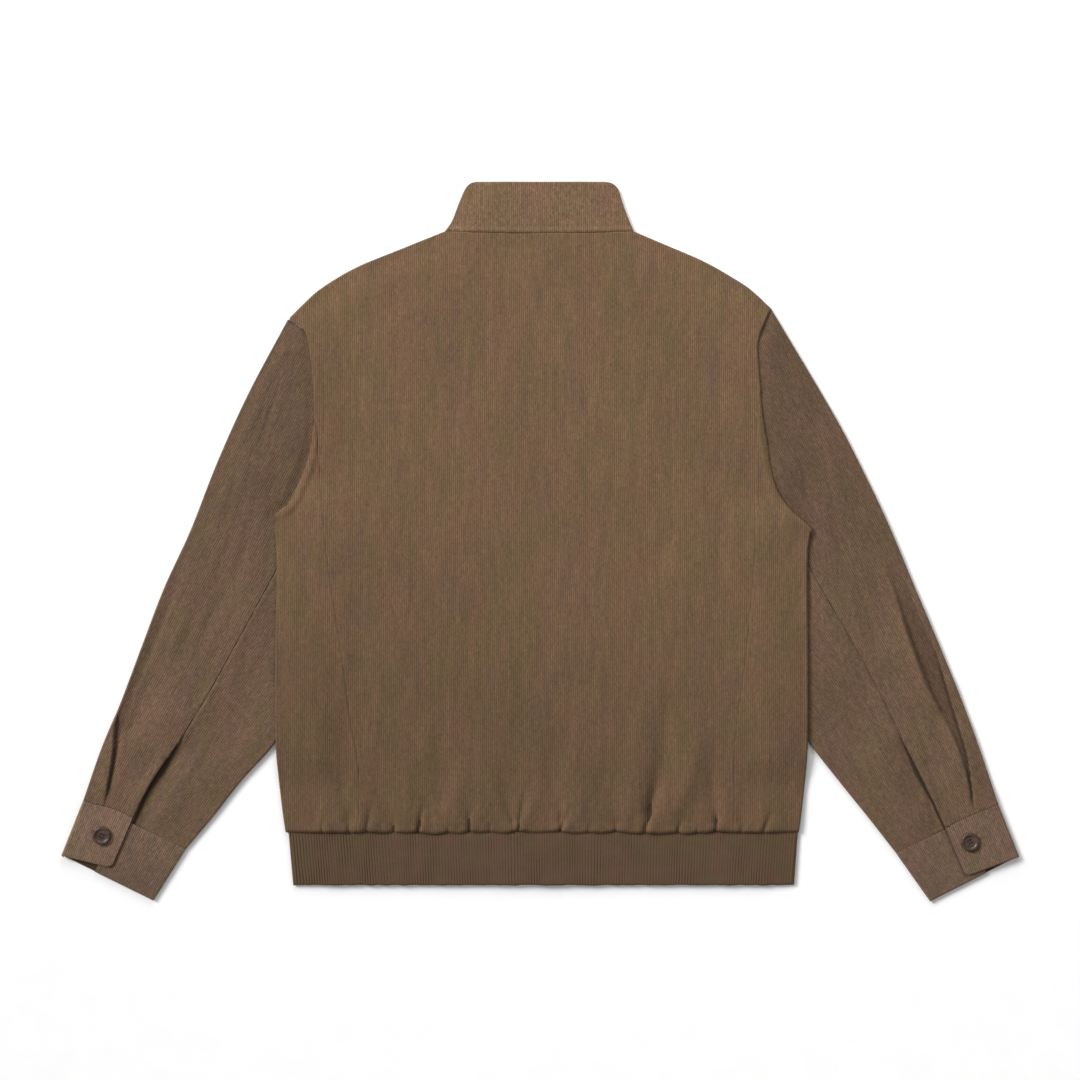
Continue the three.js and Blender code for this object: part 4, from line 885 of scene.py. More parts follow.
def make_front(side):
    sign = side["sign"]
    cloth = Cloth()
    # The layer that lies on the floor
    neck = collar_front(side, 0, np.linspace(1, 0.05, 40))
    levels = spaced((HEM, HEM + 50, 2.5), (HEM + 50, FRONT_NECK, 6), (FRONT_NECK, neck[-1, 1] - 0.5, 2.5))
    start = np.where(levels > FRONT_NECK, np.interp(levels, neck[:, 1], neck[:, 0]) + SEAM, FRONT_EDGE)
    share = np.linspace(0, 1, 96)
    x = sign * lerp(start[:, None], front_outer(side, levels)[:, None], share[None, :])
    y = np.broadcast_to(levels[:, None], x.shape)
    gathers = np.abs((np.abs(x) / 30 + 0.3) % 1 - 0.5) * 30
    notch = 1.6 * hump(gathers, 2.6) * (1 - ramp(6, 34, y - HEM))
    rounded = roll(np.abs(x) - start[:, None], 0.8) + roll(y - HEM, 1.0)
    z = lift_at(x, y) + notch + rounded + 0.25 * (1 + FRONT_FOLDS(x, y)) * ramp(0, 40, y - HEM)
    cloth.add(np.stack([x, y, z], -1), np.abs(x), y, stride=3, flip=sign > 0)
    # The strip that wraps round the side, from the side seam on the back to the side's fold
    tip, top = side["tip"], side["join"]
    levels = spaced((HEM, HEM + 54, 2.0), (HEM + 54, tip - 26, 5), (tip - 26, top, 2.0))
    below = levels < tip
    stop = np.where(below, side["edge_at"](levels) - FOLD, side["armhole_at"](levels) - SEAM_SHOWN)
    low = np.minimum(side["seam_at"](levels) + SEAM_SHOWN, stop)
    across = spread(low, stop, wale_columns(186, 285))
    level = np.broadcast_to(levels[:, None], across.shape)
    free = np.minimum(across - low[:, None], stop[:, None] - across)
    x = across + sway(across, level, free)
    y = level + (hem_at(sign * x) - HEM) * (1 - ramp(HEM, HEM + 30, level))
    z = body_top(sign * x, y) - side_drops(side, sign * x, y) - 0.9 * roll(y - hem_at(sign * x), 3.6)
    strip = np.stack([sign * x, y, z], -1)
    lowest = lerp(-90.0, 90.0, ramp(tip - 26, tip, levels))
    angles = lerp(90.0, lowest[:, None], np.linspace(0, 1, 13)[None, 1:])
    inset, height = turned(angles)
    edge = np.where(below, side["edge_at"](levels), side["armhole_at"](levels) - SEAM_SHOWN)[:, None]
    inset = np.where(below[:, None], inset, 0)
    lift = lift_at(sign * edge, levels[:, None])
    base = strip[:, -1:, 2]
    fold_z = np.where(below[:, None], height + lift + (base - EDGE_TOP - lift) * ramp(-60, 90, angles), base)
    fold = np.stack([sign * (edge - inset), np.broadcast_to(y[:, -1:], inset.shape), fold_z], -1)
    outer = np.concatenate([strip, fold], axis=1)
    place_across = np.concatenate([across, edge + FOLD * np.radians(90 - angles)], 1)
    waves = np.concatenate([groove(across), np.zeros(inset.shape)], 1)
    cloth.add(outer, place_across, levels[:, None], waves, stride=6, flip=sign < 0)
    name = f"front_{side['name']}_panel"
    return place(name, cloth.mesh(name), body_cloth, "corduroy_body", replaces=[f"front_{side['name']}"])


def make_collar():
    cloth = Cloth()
    rows = np.concatenate([
        [0, 0.01, 0.025, 0.05], np.linspace(0.08, 0.92, 26), [0.94, 0.96, 0.975, 0.985, 0.993, 1],
    ])
    sides = (SIDES["left"], SIDES["right"])
    low = FOLD - sides[0]["collar_at"](rows)
    high = sides[1]["collar_at"](rows) - FOLD
    columns = spread(low, high, wale_columns(-100, 98), np.array([0]), np.array([0]))
    up = np.broadcast_to(rows[:, None], columns.shape)
    beside = np.minimum(columns - low[:, None], high[:, None] - columns)
    x = columns + sway(columns, 60 * up + 400, beside)
    ripple = Ripple(31, 40, 60)
    top = lerp(NECK, NECK + COLLAR_HEIGHT, up)
    gap = SEAM_SHOWN * 2 * (1 - up)
    z = lerp(EDGE_TOP, COLLAR_TOP, ramp(0, 28, beside)) - 0.6 * up + 0.22 * ripple(x, top)
    y = top + gap + (neck_at(x) - NECK) * lerp(1, 0.4, up)
    ends_y = y[:, [0, -1]]
    from_edge = (1 - up) * COLLAR_HEIGHT
    from_seam = up * COLLAR_HEIGHT
    z = z - roll(from_edge, 1.6) - 0.7 * roll(from_seam, 1.1) + 0.8 * hump(from_seam - 2.8, 1.8)
    z = z - 0.3 * hump(from_edge - 5.5, 0.8) - 0.25 * hump(from_seam - 5.5, 0.8)
    middle = np.stack([x, y, z], -1)
    parts = []
    across = []
    waves = []
    for side in sides:
        sign = side["sign"]
        angles = np.linspace(90, -90, 13)[1:]
        inset, height = turned(angles)
        thin = (roll(from_edge[:, :1], 1.6) + 0.6 * up[:, :1]) / FOLD
        height = FOLD + (height - FOLD) * (1 - thin * ramp(-60, 60, angles))
        edge = side["collar_at"](rows)[:, None]
        fold = np.stack([
            np.broadcast_to(sign * (edge - inset), (len(rows), 12)),
            np.broadcast_to(ends_y[:, :1] if sign < 0 else ends_y[:, 1:], (len(rows), 12)),
            height,
        ], -1)
        steps = np.linspace(0.03, 1, 60)
        half = np.stack([collar_front(side, share, steps) for share in rows])
        under = np.stack([
            sign * half[..., 0], half[..., 1] + gap[:, :1],
            0.25 * roll(from_edge[:, :1], 1.6) + np.zeros(half.shape[:2]),
        ], -1)
        ring = np.concatenate([fold, under], axis=1)
        steps_across = 100 + 2.4 * np.arange(ring.shape[1])
        if sign < 0:
            ring = ring[:, ::-1]
            steps_across = -steps_across[::-1]
        parts.append(ring)
        across.append(np.broadcast_to(steps_across, ring.shape[:2]))
        waves.append(np.zeros(ring.shape[:2]))
    outer = np.concatenate([parts[0], middle, parts[1]], axis=1)
    place_across = np.concatenate([across[0], columns, across[1]], axis=1)
    wave = groove(columns) * ramp(0, 2, np.minimum(from_edge, from_seam))
    wave = np.concatenate([waves[0], wave, waves[1]], axis=1)
    cloth.add(outer, place_across, (rows * COLLAR_HEIGHT)[:, None], wave, stride=3)
    return place(
        "collar_panel", cloth.mesh("collar_panel"), collar_cloth, "corduroy_collar", replaces=["collar"]
    )


RIB_PROFILE = [-0.6, -0.12, 0.08, 0.13, 0.08, -0.12]  # height over one rib


def make_waistband():
    cloth = Cloth()
    left, right = SIDES["left"]["band"], SIDES["right"]["band"]
    seam_span = left[0] + right[0] - 2 * FOLD
    count = round(seam_span / RIB_PITCH) * len(RIB_PROFILE)
    share = np.linspace(0, 1, count + 1)
    rows = np.concatenate([[0, 0.01, 0.03, 0.06], np.linspace(0.12, 0.9, 16), [0.94, 0.965, 0.985, 1]])
    down, share = np.meshgrid(rows, share, indexing="ij")
    x = lerp(lerp(FOLD - left[0], FOLD - left[1], down), lerp(right[0] - FOLD, right[1] - FOLD, down), share)
    ripple = Ripple(41, 60, 500)
    x = x + (
        (1.1 * ripple(x, down * 50) + 0.25 * fine_ripple(x, down * 55))
        * ramp(0, 0.02, share) * ramp(1, 0.98, share)
    )
    at_seam = lerp(-left[0], right[0], share)
    beside = np.minimum(at_seam + left[0], right[0] - at_seam)
    z = lerp(EDGE_TOP, BAND_TOP + hump(at_seam, 50), ramp(0, 40, beside))
    start = hem_at(x) - SEAM + 1.2
    y = lerp(start, BAND_BOTTOM + 0.5 * Ripple(44, 14, 100)(x, 0), down)
    deep = down * (HEM - BAND_BOTTOM)
    z = z + 0.55 * np.sin(np.pi * np.clip(down, 0, 1)) - 1.2 * (1 - ramp(0, 5, deep)) - roll(55 - deep, 2.1)
    z = z + 0.25 * Ripple(42, 30, 60)(x, y)
    profile = np.resize(np.array(RIB_PROFILE), count + 1)
    relief = (
        np.clip(0.6 + 0.35 * Ripple(43, 45, 90)(x, y), 0.25, 1.2)
        + 0.6 * (1 - ramp(0, 80, at_seam + left[0]))
    )
    wave = profile * relief * ramp(0, 3, 55 - deep) * ramp(-2, 4, deep)
    top = np.stack([x, y, z], -1)
    rings = []
    for sign, (seam, hem) in ((-1, left), (1, right)):
        angles = np.linspace(90, -90, 13)[1:]
        inset, height = turned(angles)
        edge = lerp(seam, hem, rows)[:, None]
        squeeze = roll(55 - deep[:, :1], 2.1) * 0.9
        fold = np.stack([
            sign * (edge - inset),
            np.broadcast_to(y[:, :1] if sign < 0 else y[:, -1:], (len(rows), 12)),
            lerp(height, FOLD, squeeze / FOLD),
        ], -1)
        along_under = np.linspace(0, 1, 180)[1:]
        under_x = sign * lerp(edge - FOLD, FRONT_EDGE, along_under[None, :])
        under = np.stack([
            under_x, np.broadcast_to(y[:, :1] * 0 + lerp(HEM, BAND_BOTTOM, rows)[:, None], under_x.shape),
            np.broadcast_to(squeeze * 0.8, under_x.shape),
        ], -1)
        ring = np.concatenate([fold, under], axis=1)
        across = np.abs(ring[..., 0])
        rings.append((ring[:, ::-1], across[:, ::-1]) if sign < 0 else (ring, across))
    outer = np.concatenate([rings[0][0], top, rings[1][0]], axis=1)
    phase = np.arange(count + 1) * RIB_PITCH / len(RIB_PROFILE)
    across = np.concatenate([rings[0][1], np.broadcast_to(phase, x.shape), rings[1][1]], axis=1)
    wave = np.concatenate([np.zeros(rings[0][1].shape), wave, np.zeros(rings[1][1].shape)], axis=1)
    cloth.add(outer, across, (rows * 55)[:, None], wave, stride=6, flip=True)
    return place("waistband_rib", cloth.mesh("waistband_rib"), rib_cloth, "rib_knit", replaces=["waistband"])


class Sleeve:
    """One sleeve's plan and height. u runs from the armhole to the cuff, a from the outer fold in."""

    def __init__(self, name):
        self.name = name
        self.side = SIDES[name]
        self.rise = CUFFS[name]["rise"]
        table = np.array(SLEEVES[name], float)
        self.outer_x, self.outer_y, self.inner_x, self.inner_y, self.seam = (
            curve(table[:, [0, k]]) for k in range(1, 6)
        )
        self.pleat = PLEATS[name]
        self.flap, self.crest = (
            curve(np.stack(self.locate(np.array(self.pleat[key], float)), -1)) for key in ("flap", "crest")
        )
        self.folds = Ripple(51 if name == "left" else 52, 26, 170)
        self.small = Ripple(53 if name == "left" else 54, 15, 34)
        u = np.linspace(0, 1, 161)
        self.outer_line = self.line(u, 0)
        self.inner_line = self.line(u, 1)
        self.back_seam = self.line(u, self.seam(u))
        front = lerp(SEAM_AT_UNDERARM, FRONT_SEAM, ramp(UNDER_STARTS - 0.14, 0.45, u))
        self.front_seam = self.line(u, front)
        heights = np.linspace(self.side["point"], self.side["tip"], 60)
        self.armhole_line = np.stack([self.side["armhole_at"](heights), heights], -1)

    def line(self, u, a):
        u, a = np.broadcast_arrays(u, a)
        x, y = lerp(self.outer_x(u), self.inner_x(u), a), lerp(self.outer_y(u), self.inner_y(u), a)
        return np.stack([x, y], -1)

    def locate(self, spots):
        """u and a at places in plan, from the section that runs through each."""
        low = np.full(spots.shape[:-1], -0.05)
        high = np.full(spots.shape[:-1], 1.05)
        for _ in range(16):
            u = (low + high) / 2
            start, end = self.line(u, 0), self.line(u, 1)
            step, away = end - start, spots - start
            beyond = step[..., 0] * away[..., 1] - step[..., 1] * away[..., 0] > 0
            low, high = np.where(beyond, u, low), np.where(beyond, high, u)
        length = (step**2).sum(-1)
        return np.clip(u, 0, 1), np.clip((step * away).sum(-1) / length, 0, 1)

    def lifted(self, spots):
        """The same places after the cloth above the cuff is pushed up by its tab."""
        u, a = self.locate(spots)
        rise = self.rise * ramp(0, 0.35, a) * (1 - ramp(0.52, 0.6, a)) * ramp(0.85, 1, u)
        return spots + np.stack([0 * rise, rise], -1)

    def top(self, spots):
        u, a = self.locate(spots)
        wide = np.hypot(self.outer_x(u) - self.inner_x(u), self.outer_y(u) - self.inner_y(u))
        strip = lerp(HIDDEN_STRIP * lerp(0.57, 1, ramp(0, 0.05, u)), 8, ramp(0.64, 0.76, u))
        crown = ramp(strip, strip + 40, (1 - a) * wide) * ramp(0, 35, a * wide)
        begun = ramp(*self.pleat["begins"], u)
        # Places across the pleat, in millimetres inward from the flap's edge and from the crest
        under = (a - self.flap(u)) * wide
        beyond = (a - self.crest(u)) * wide
        wall = np.minimum(self.pleat["wall"], np.maximum(under - beyond, 1.5))
        valley = ramp(-0.6, 0.6, under) * ramp(1.0, -1.0, beyond / wall * 2) * begun
        flap = ramp(-18, -2, under) * ramp(0.6, -0.6, under) * begun
        crest = hump(beyond - 1.5, 5) * ramp(0, 4, under) * begun * (1 - ramp(0.8, 0.93, u))
        base = lerp(EDGE_TOP, SLEEVE_TOP, crown)
        soft = (0.55 * self.folds(a * wide, u * 560) + 0.14 * self.small(a * wide, u * 560)) * crown
        up = base + soft + 1.35 * creased(spots[..., 0], spots[..., 1], SLEEVE_CREASES[self.name])
        up = up + PLEAT_FLAP[self.name] * flap + PLEAT_CREST[self.name] * crest
        up = lerp(up, np.maximum(base - PLEAT_DEPTH, PLEAT_FLOOR), valley)
        at_cuff = lerp(CUFF_LEVEL["tab"] + 0.75, CUFF_LEVEL["lap"] + 1.1, ramp(0.5, 0.58, a))
        up = lerp(up, at_cuff - 0.6 * valley, ramp(0.94, 1, u))
        # Painted shade: darkest in the wedge just inside the flap's edge, fainter along the valley
        wedge_shade = (
            ramp(-0.4, 0.4, under) * (1 - ramp(1.5, 6, under))
            * ramp(0.54, 0.7, u) * (1 - ramp(0.96, 0.99, u))
        )
        return up, u, np.maximum(0.9 * wedge_shade, 0.42 * valley * begun)


class WaleFrame:
    """Straight wales that lean by an angle, with places along and across them."""

    def __init__(self, lean):
        self.along = np.array([math.sin(lean), -math.cos(lean)])
        self.across = np.array([-math.cos(lean), -math.sin(lean)])

    def of(self, spots):
        spots = np.asarray(spots, float)
        return spots @ self.along, spots @ self.across

    def spots(self, along, across):
        return along[..., None] * self.along + across[..., None] * self.across

    def ends(self, first, last):
        """Place along the wales of the straight line through two points, for each place across."""
        (s0, s1), (w0, w1) = self.of(np.array([first, last]))
        return lambda across: s0 + (across - w0) * (s1 - s0) / (w1 - w0)

    def edge(self, rows, start, end, line):
        """Place across the wales at which each row meets a line."""
        along, across = self.of(line)
        along = np.maximum.accumulate(along) + 1e-6 * np.arange(len(along))
        here = np.full(len(rows), across.mean())
        for _ in range(12):
            here = np.interp(lerp(start(here), end(here), rows), along, across)
        return here


def fold_ring(form, frame_of, rows, start, end, across, inward, first_z):
    """The round fold at an edge of a sleeve, from its upper layer down to the lower one."""
    angles = np.linspace(90, -90, 13)[None, 1:]
    inset, height = turned(angles)
    place_across = across[:, None] + inward * inset
    along = lerp(start(place_across), end(place_across), rows[:, None])
    z = height + (first_z - EDGE_TOP) * ramp(-60, 90, angles)
    return np.concatenate([frame_of.spots(along, place_across), z[..., None]], -1), angles


def cuff_pinch(u):
    """How far the sleeve drops where it is sewn to the cuff."""
    return 0.35 * (1 - ramp(0, 0.004, 1 - u)) - 0.2 * hump(1 - u - 0.02, 0.014)


NO_INSET = np.array([0.0])


def make_sleeve_upper(form):
    sign = form.side["sign"]
    wales = WaleFrame(UPPER_LEAN)
    shoulder = form.armhole_line[0]
    top_at = wales.of(form.armhole_line)[0].min()
    start = lambda across: np.full(np.shape(across), top_at)
    end = wales.ends(form.outer_line[-1], form.inner_line[-1])
    length = float(end(wales.of(shoulder)[1])) - top_at
    rows = spaced((0, 6, 0.75), (6, 30, 2.4), (30, 0.56 * length, 5.5), (0.56 * length, length - 6, 2.3),
                  (length - 6, length, 1.0)) / length
    seam_side = np.concatenate([
        form.armhole_line, form.back_seam[form.back_seam[:, 1] < form.side["tip"] - 2],
    ])
    low = wales.edge(rows, start, end, form.outer_line)
    high = np.maximum(wales.edge(rows, start, end, seam_side) - SEAM_SHOWN, low)
    fold_at = np.minimum(low + FOLD, high)
    across = spread(fold_at, high, wale_columns(-480, 0), NO_INSET, EDGE_INSETS)
    along = lerp(start(across), end(across), rows[:, None])
    spots = wales.spots(along, across)
    free, _ = distance(spots[..., 0], spots[..., 1], form.back_seam[20:])
    begun, _ = distance(spots[..., 0], spots[..., 1], form.armhole_line)
    top, u, pleat_shade = form.top(spots)
    slit = ramp(SLIT_STARTS - 0.04, SLIT_STARTS + 0.02, u)
    lip = SLIT_LIP * slit + 1.9 * hump(u - 0.88, 0.09)
    seam = roll(free, 1.0) * lerp(0.6, 1, slit) - (0.4 + lip) * hump(free - 2.4, 6)
    sewn = 0.3 * hump(free - 2.2, 0.6) * (1 - slit)
    z = top - seam - sewn - 2.0 * (1 - ramp(0, 12, begun)) - cuff_pinch(u)
    lifted = form.lifted(spots)
    flat = np.concatenate([lifted, np.maximum(z, 2.6)[..., None]], -1)
    ring, angles = fold_ring(form, wales, rows, start, end, low, 1, flat[:, :1, 2])
    under_side = np.concatenate([
        form.armhole_line, form.front_seam[form.front_seam[:, 1] < form.side["tip"] - 2],
    ])
    last = np.maximum(wales.edge(rows, start, end, under_side) - SEAM_SHOWN, fold_at)
    hidden_across = lerp(fold_at[:, None], last[:, None], np.linspace(0, 1, 44)[None, 1:])
    hidden = wales.spots(lerp(start(hidden_across), end(hidden_across), rows[:, None]), hidden_across)
    hidden = np.concatenate([hidden, np.zeros(hidden.shape[:2] + (1,))], -1)
    outer = np.concatenate([flat[:, ::-1], ring, hidden], axis=1)
    outer[..., 0] *= sign
    place_across = np.concatenate([
        across[:, ::-1], low[:, None] - FOLD * np.radians(90 - angles),
        low[:, None] - FOLD * math.pi - (hidden_across - low[:, None]),
    ], axis=1)
    waves = np.concatenate([groove(across)[:, ::-1] * ramp(0.2, 2, begun)[:, ::-1], np.zeros(ring.shape[:2]),
                            np.zeros(hidden.shape[:2])], axis=1)
    cloth = Cloth()
    # Painted shade on the outer face: in the pleat, along the back seam, and on the right sleeve near the
    # armhole, where the body shades it
    shades = np.zeros(outer.shape[:2])
    lee = LEE[form.name] * (1 - ramp(10, 130, begun))
    seam_shade = 0.5 * (1 - ramp(0.4, 1.5, free))
    shades[:, :across.shape[1]] = np.maximum(np.maximum(pleat_shade, lee), seam_shade)[:, ::-1]
    cloth.add(outer, place_across, rows[:, None] * length, waves, stride=6, flip=sign > 0, hidden=shades)
    name = f"sleeve_upper_{form.name}_panel"
    return place(
        name, cloth.mesh(name), sleeve_cloth, "corduroy_sleeve", replaces=[f"sleeve_upper_{form.name}"]
    )


def make_sleeve_under(form):
    sign = form.side["sign"]
    wales = WaleFrame(UNDER_LEAN[form.name])
    first = round(UNDER_STARTS * 160)
    start = wales.ends(form.back_seam[first], form.inner_line[first])
    end = wales.ends(form.outer_line[-1], form.inner_line[-1])
    length = float((end(np.array(-200.0)) - start(np.array(-200.0))))
    rows = spaced(
        (0, 0.45 * length, 5.5), (0.45 * length, length - 6, 2.3), (length - 6, length, 1.0)
    ) / length
    u = np.linspace(0, 1, 161)
    overlap = SLIT_OVERLAP * ramp(SLIT_STARTS, SLIT_STARTS + 0.06, u)
    wide = np.hypot(*(form.outer_line - form.inner_line).T)
    tucked = form.line(u, form.seam(u) - overlap / wide)
    low = wales.edge(rows, start, end, tucked[first:]) + SEAM_SHOWN
    high = np.maximum(wales.edge(rows, start, end, form.inner_line[first:]), low + FOLD)
    across = spread(low, high - FOLD, wale_columns(-480, 0), EDGE_INSETS, NO_INSET)
    spots = wales.spots(lerp(start(across), end(across), rows[:, None]), across)
    top, u, _ = form.top(spots)
    seam_away, _ = distance(spots[..., 0], spots[..., 1], form.back_seam[20:])
    slit = ramp(SLIT_STARTS - 0.02, SLIT_STARTS + 0.04, u)
    share = (across - low[:, None]) / (high - FOLD - low)[:, None]
    dip = (SLIT_DROP + 0.7) * slit * (1 - ramp(0.12, 0.45, share))
    ridge = 0.35 * hump(seam_away - 3.0, 2.5) * (1 - slit)
    z = top - dip - 0.6 * roll(seam_away, 1.0) * (1 - slit) + ridge - cuff_pinch(u) * (1 - 0.5 * slit)
    flat = np.concatenate([spots, np.maximum(z, 2.6)[..., None]], -1)
    ring, angles = fold_ring(form, wales, rows, start, end, high, -1, flat[:, -1:, 2])
    last = wales.edge(rows, start, end, form.front_seam[first:]) + SEAM_SHOWN
    last = np.minimum(last, high - FOLD)
    hidden_across = lerp((high - FOLD)[:, None], last[:, None], np.linspace(0, 1, 18)[None, 1:])
    hidden = wales.spots(lerp(start(hidden_across), end(hidden_across), rows[:, None]), hidden_across)
    hidden = np.concatenate([hidden, np.zeros(hidden.shape[:2] + (1,))], -1)
    outer = np.concatenate([flat, ring, hidden], axis=1)
    outer[..., 0] *= sign
    place_across = np.concatenate([
        across, high[:, None] + FOLD * np.radians(90 - angles),
        2 * high[:, None] + FOLD * math.pi - hidden_across,
    ], axis=1)
    waves = np.concatenate([groove(across), np.zeros(ring.shape[:2]), np.zeros(hidden.shape[:2])], axis=1)
    cloth = Cloth()
    # Painted shade on the under panel inside the slit, and on the right sleeve where the body shades it
    gap = SLIT_SHADE_WIDTH[form.name] * (0.4 + 0.85 * hump(u - 0.84, 0.05))
    shades = np.zeros(outer.shape[:2])
    shades[:, :across.shape[1]] = np.maximum(
        (1 - ramp(0.5 * gap, 1.1 * gap, seam_away)) * slit, 0.6 * LEE[form.name]
    )
    cloth.add(outer, place_across, rows[:, None] * length, waves, stride=6, flip=sign < 0, hidden=shades)
    name = f"sleeve_under_{form.name}_panel"
    return place(
        name, cloth.mesh(name), sleeve_cloth, "corduroy_sleeve", replaces=[f"sleeve_under_{form.name}"]
    )


def make_cuff(form):
    sign = form.side["sign"]
    cuff = CUFFS[form.name]
    outer_end, inner_end, tab_end = (np.array(cuff[key], float) for key in ("outer", "inner", "tab"))
    tab_share = float(form.seam(1.0))
    wide = float(np.hypot(*(form.outer_line[-1] - form.inner_line[-1])))
    step = WALE / WALE_SAMPLES / wide
    down = np.concatenate([
        [0, 0.015, 0.035, 0.06], np.linspace(0.1, 0.9, 22), [0.94, 0.965, 0.985, 1],
    ])[:, None]
    high = 59.0
    from_hem = (1 - down) * high
    from_seam = down * high

    def between(a, hem, lower):
        """Points between the seam and the hem, for shares of the way across."""
        seam = form.line(1.0, a)
        if not lower:
            seam = form.lifted(seam)
        return lerp((seam + CUFF_GAP * np.array([0.15, -0.35]))[None], hem[None], down[..., None])

    edges = 1.3 * roll(from_hem, 1.0) + 0.35 * roll(from_seam, 0.8)
    sewn = 0.28 * hump(from_hem - 5.0, 0.7) + 0.28 * hump(from_seam - 5.0, 0.7)
    ripple = Ripple(61 if sign < 0 else 62, 25, 40)
    parts = []

    # Tab, from its free edge to the outer fold
    a = np.arange(tab_share, 3.4 / wide, -step)
    hem = lerp(outer_end, tab_end, (a / tab_share)[:, None])
    tab = between(a, hem, False)
    free = (tab_share - a) * wide
    corner = 7.0
    cut = roll(free, corner)[None, :] * ramp(0.6, 1, down)
    tab = tab + cut[..., None] * (np.stack([tab[0] - tab[-1]]) / high)
    button_x, button_y = cuff["button"]
    around = np.hypot(tab[..., 0] - button_x, tab[..., 1] - button_y)
    z = CUFF_LEVEL["tab"] + CLOTH / 2 + 0.18 * ripple(tab[..., 0], tab[..., 1])
    z = z - edges - sewn - roll(free, 1.2) - 0.28 * hump(free - 5.0, 0.7) - 0.35 * hump(around, 9)
    parts.append((tab, z, a * wide, np.where(np.arange(len(a)) % WALE_SAMPLES == 0, -WALE_DEPTH, 0.0)))

    def fold(radius, far):
        angles = np.linspace(90, -90, 15) if not far else np.linspace(-90, 90, 15)
        inset, height = turned(angles, radius, radius)
        hem_wide = np.hypot(*(outer_end - inner_end))
        seam_a = 1 - inset / wide if far else inset / wide
        hem_a = 1 - inset / hem_wide if far else inset / hem_wide
        spots = between(seam_a, lerp(outer_end, inner_end, hem_a[:, None]), True)
        # The fold keeps its round section but thins a little at the hem and the seam
        middle = radius
        thin = 1 - 0.1 * (edges / 1.3)
        return spots, middle + (height[None, :] - middle) * thin, seam_a * wide, np.zeros(seam_a.shape)

    parts.append(fold((CUFF_LEVEL["tab"] - CUFF_LEVEL["under"] + CLOTH) / 2, False))
    a = np.linspace(0.04, 0.96, 60)
    under = between(a, lerp(outer_end, inner_end, a[:, None]), True)
    z = np.broadcast_to(CUFF_LEVEL["under"] - CLOTH / 2 + 0.5 * edges, under.shape[:2])
    parts.append((under, z, a * wide, np.zeros(a.shape)))
    parts.append(fold((CUFF_LEVEL["lap"] - CUFF_LEVEL["under"] + CLOTH) / 2, True))
    a = np.arange(1 - 2.3 / wide, LAP_END, -step)
    lap = between(a, lerp(outer_end, inner_end, a[:, None]), True)
    z = CUFF_LEVEL["lap"] + CLOTH / 2 + 0.12 * ripple(lap[..., 0] + 99, lap[..., 1]) - edges - sewn
    parts.append((lap, z, a * wide, np.where(np.arange(len(a)) % WALE_SAMPLES == 0, -WALE_DEPTH, 0.0)))

    spots = np.concatenate([p[0] for p in parts], axis=1)
    z = np.concatenate([np.broadcast_to(p[1], p[0].shape[:2]) for p in parts], axis=1)
    across = np.concatenate([p[2] for p in parts])
    wave = np.concatenate([p[3] for p in parts])[None, :] * ramp(0, 2, np.minimum(from_hem, from_seam))
    outer = np.stack([sign * spots[..., 0], spots[..., 1], z], -1)
    # Painted shade on the lap, darkest beside the tab's free edge
    edge_away, _ = distance(lap[..., 0], lap[..., 1], [form.lifted(form.line(1.0, tab_share)), tab_end])
    shades = np.zeros(outer.shape[:2])
    shades[:, -lap.shape[1]:] = np.maximum(LAP_SHADE[form.name], 0.55 * (1 - ramp(0.8, 3.6, edge_away)))
    cloth = Cloth()
    cloth.add(outer, across, down * high + 600, wave, stride=3, flip=sign > 0, hidden=shades)
    name = f"cuff_{form.name}_panel"
    return place(
        name, cloth.mesh(name), cuff_cloths[form.name], "corduroy_sleeve", replaces=[f"cuff_{form.name}"]
    )


def disc_mesh(name, rings, spokes, height, under):
    """A round piece from its height at each radius and angle. rings are radii, in millimetres."""
    angles = np.linspace(0, 2 * math.pi, spokes, endpoint=False)
    points, faces = [(0, 0, float(height(np.array(0.0), np.array(0.0))))], []
    for radius in rings:
        z = height(np.full(spokes, radius), angles)
        points += list(zip(radius * np.cos(angles), radius * np.sin(angles), z))
    for radius, level in under:
        points += [(radius * math.cos(t), radius * math.sin(t), level) for t in angles]
    points.append((0, 0, under[-1][1]))
    count = len(rings) + len(under)
    for j in range(spokes):
        following = (j + 1) % spokes
        faces.append((0, 1 + j, 1 + following))
        for ring in range(count - 1):
            a, b = 1 + ring * spokes, 1 + (ring + 1) * spokes
            faces.append((a + j, b + j, b + following, a + following))
        last = 1 + (count - 1) * spokes
        faces.append((last + following, last + j, len(points) - 1))
    mesh = bpy.data.meshes.new(name)
    mesh.from_pydata([tuple(MM * v for v in p) for p in points], [], faces)
    mesh.polygons.foreach_set("use_smooth", np.ones(len(mesh.polygons), bool))
    return mesh


HOLE_AT = 2.1
HOLE = 0.95


def button_face(radius, angle):
    """Height of the button's face: a rounded rim round a dished middle with four holes."""
    x, y = radius * np.cos(angle), radius * np.sin(angle)
    rim = 2.75 + 0.45 * hump(radius - 7.9, 1.15) - roll(BUTTON_RADIUS - radius, 1.3)
    dish = lerp(2.0, rim, ramp(5.2, 6.9, radius))
    for k in range(4):
        turn = math.pi / 4 + k * math.pi / 2
        away = np.hypot(x - HOLE_AT * math.cos(turn), y - HOLE_AT * math.sin(turn))
        dish = dish - 1.6 * (1 - ramp(HOLE * 0.75, HOLE * 1.15, away))
    return dish


def moved(mesh, x, y, z, turn=0.0):
    """Moves a mesh's points, so that its object stays at the origin."""
    points = np.zeros(len(mesh.vertices) * 3)
    mesh.vertices.foreach_get("co", points)
    points = points.reshape(-1, 3)
    cosine, sine = math.cos(turn), math.sin(turn)
    spun = points @ np.array([[cosine, sine, 0], [-sine, cosine, 0], [0, 0, 1]])
    mesh.vertices.foreach_set("co", (spun + np.array([x, y, z]) * MM).ravel())
    mesh.update()
    return mesh


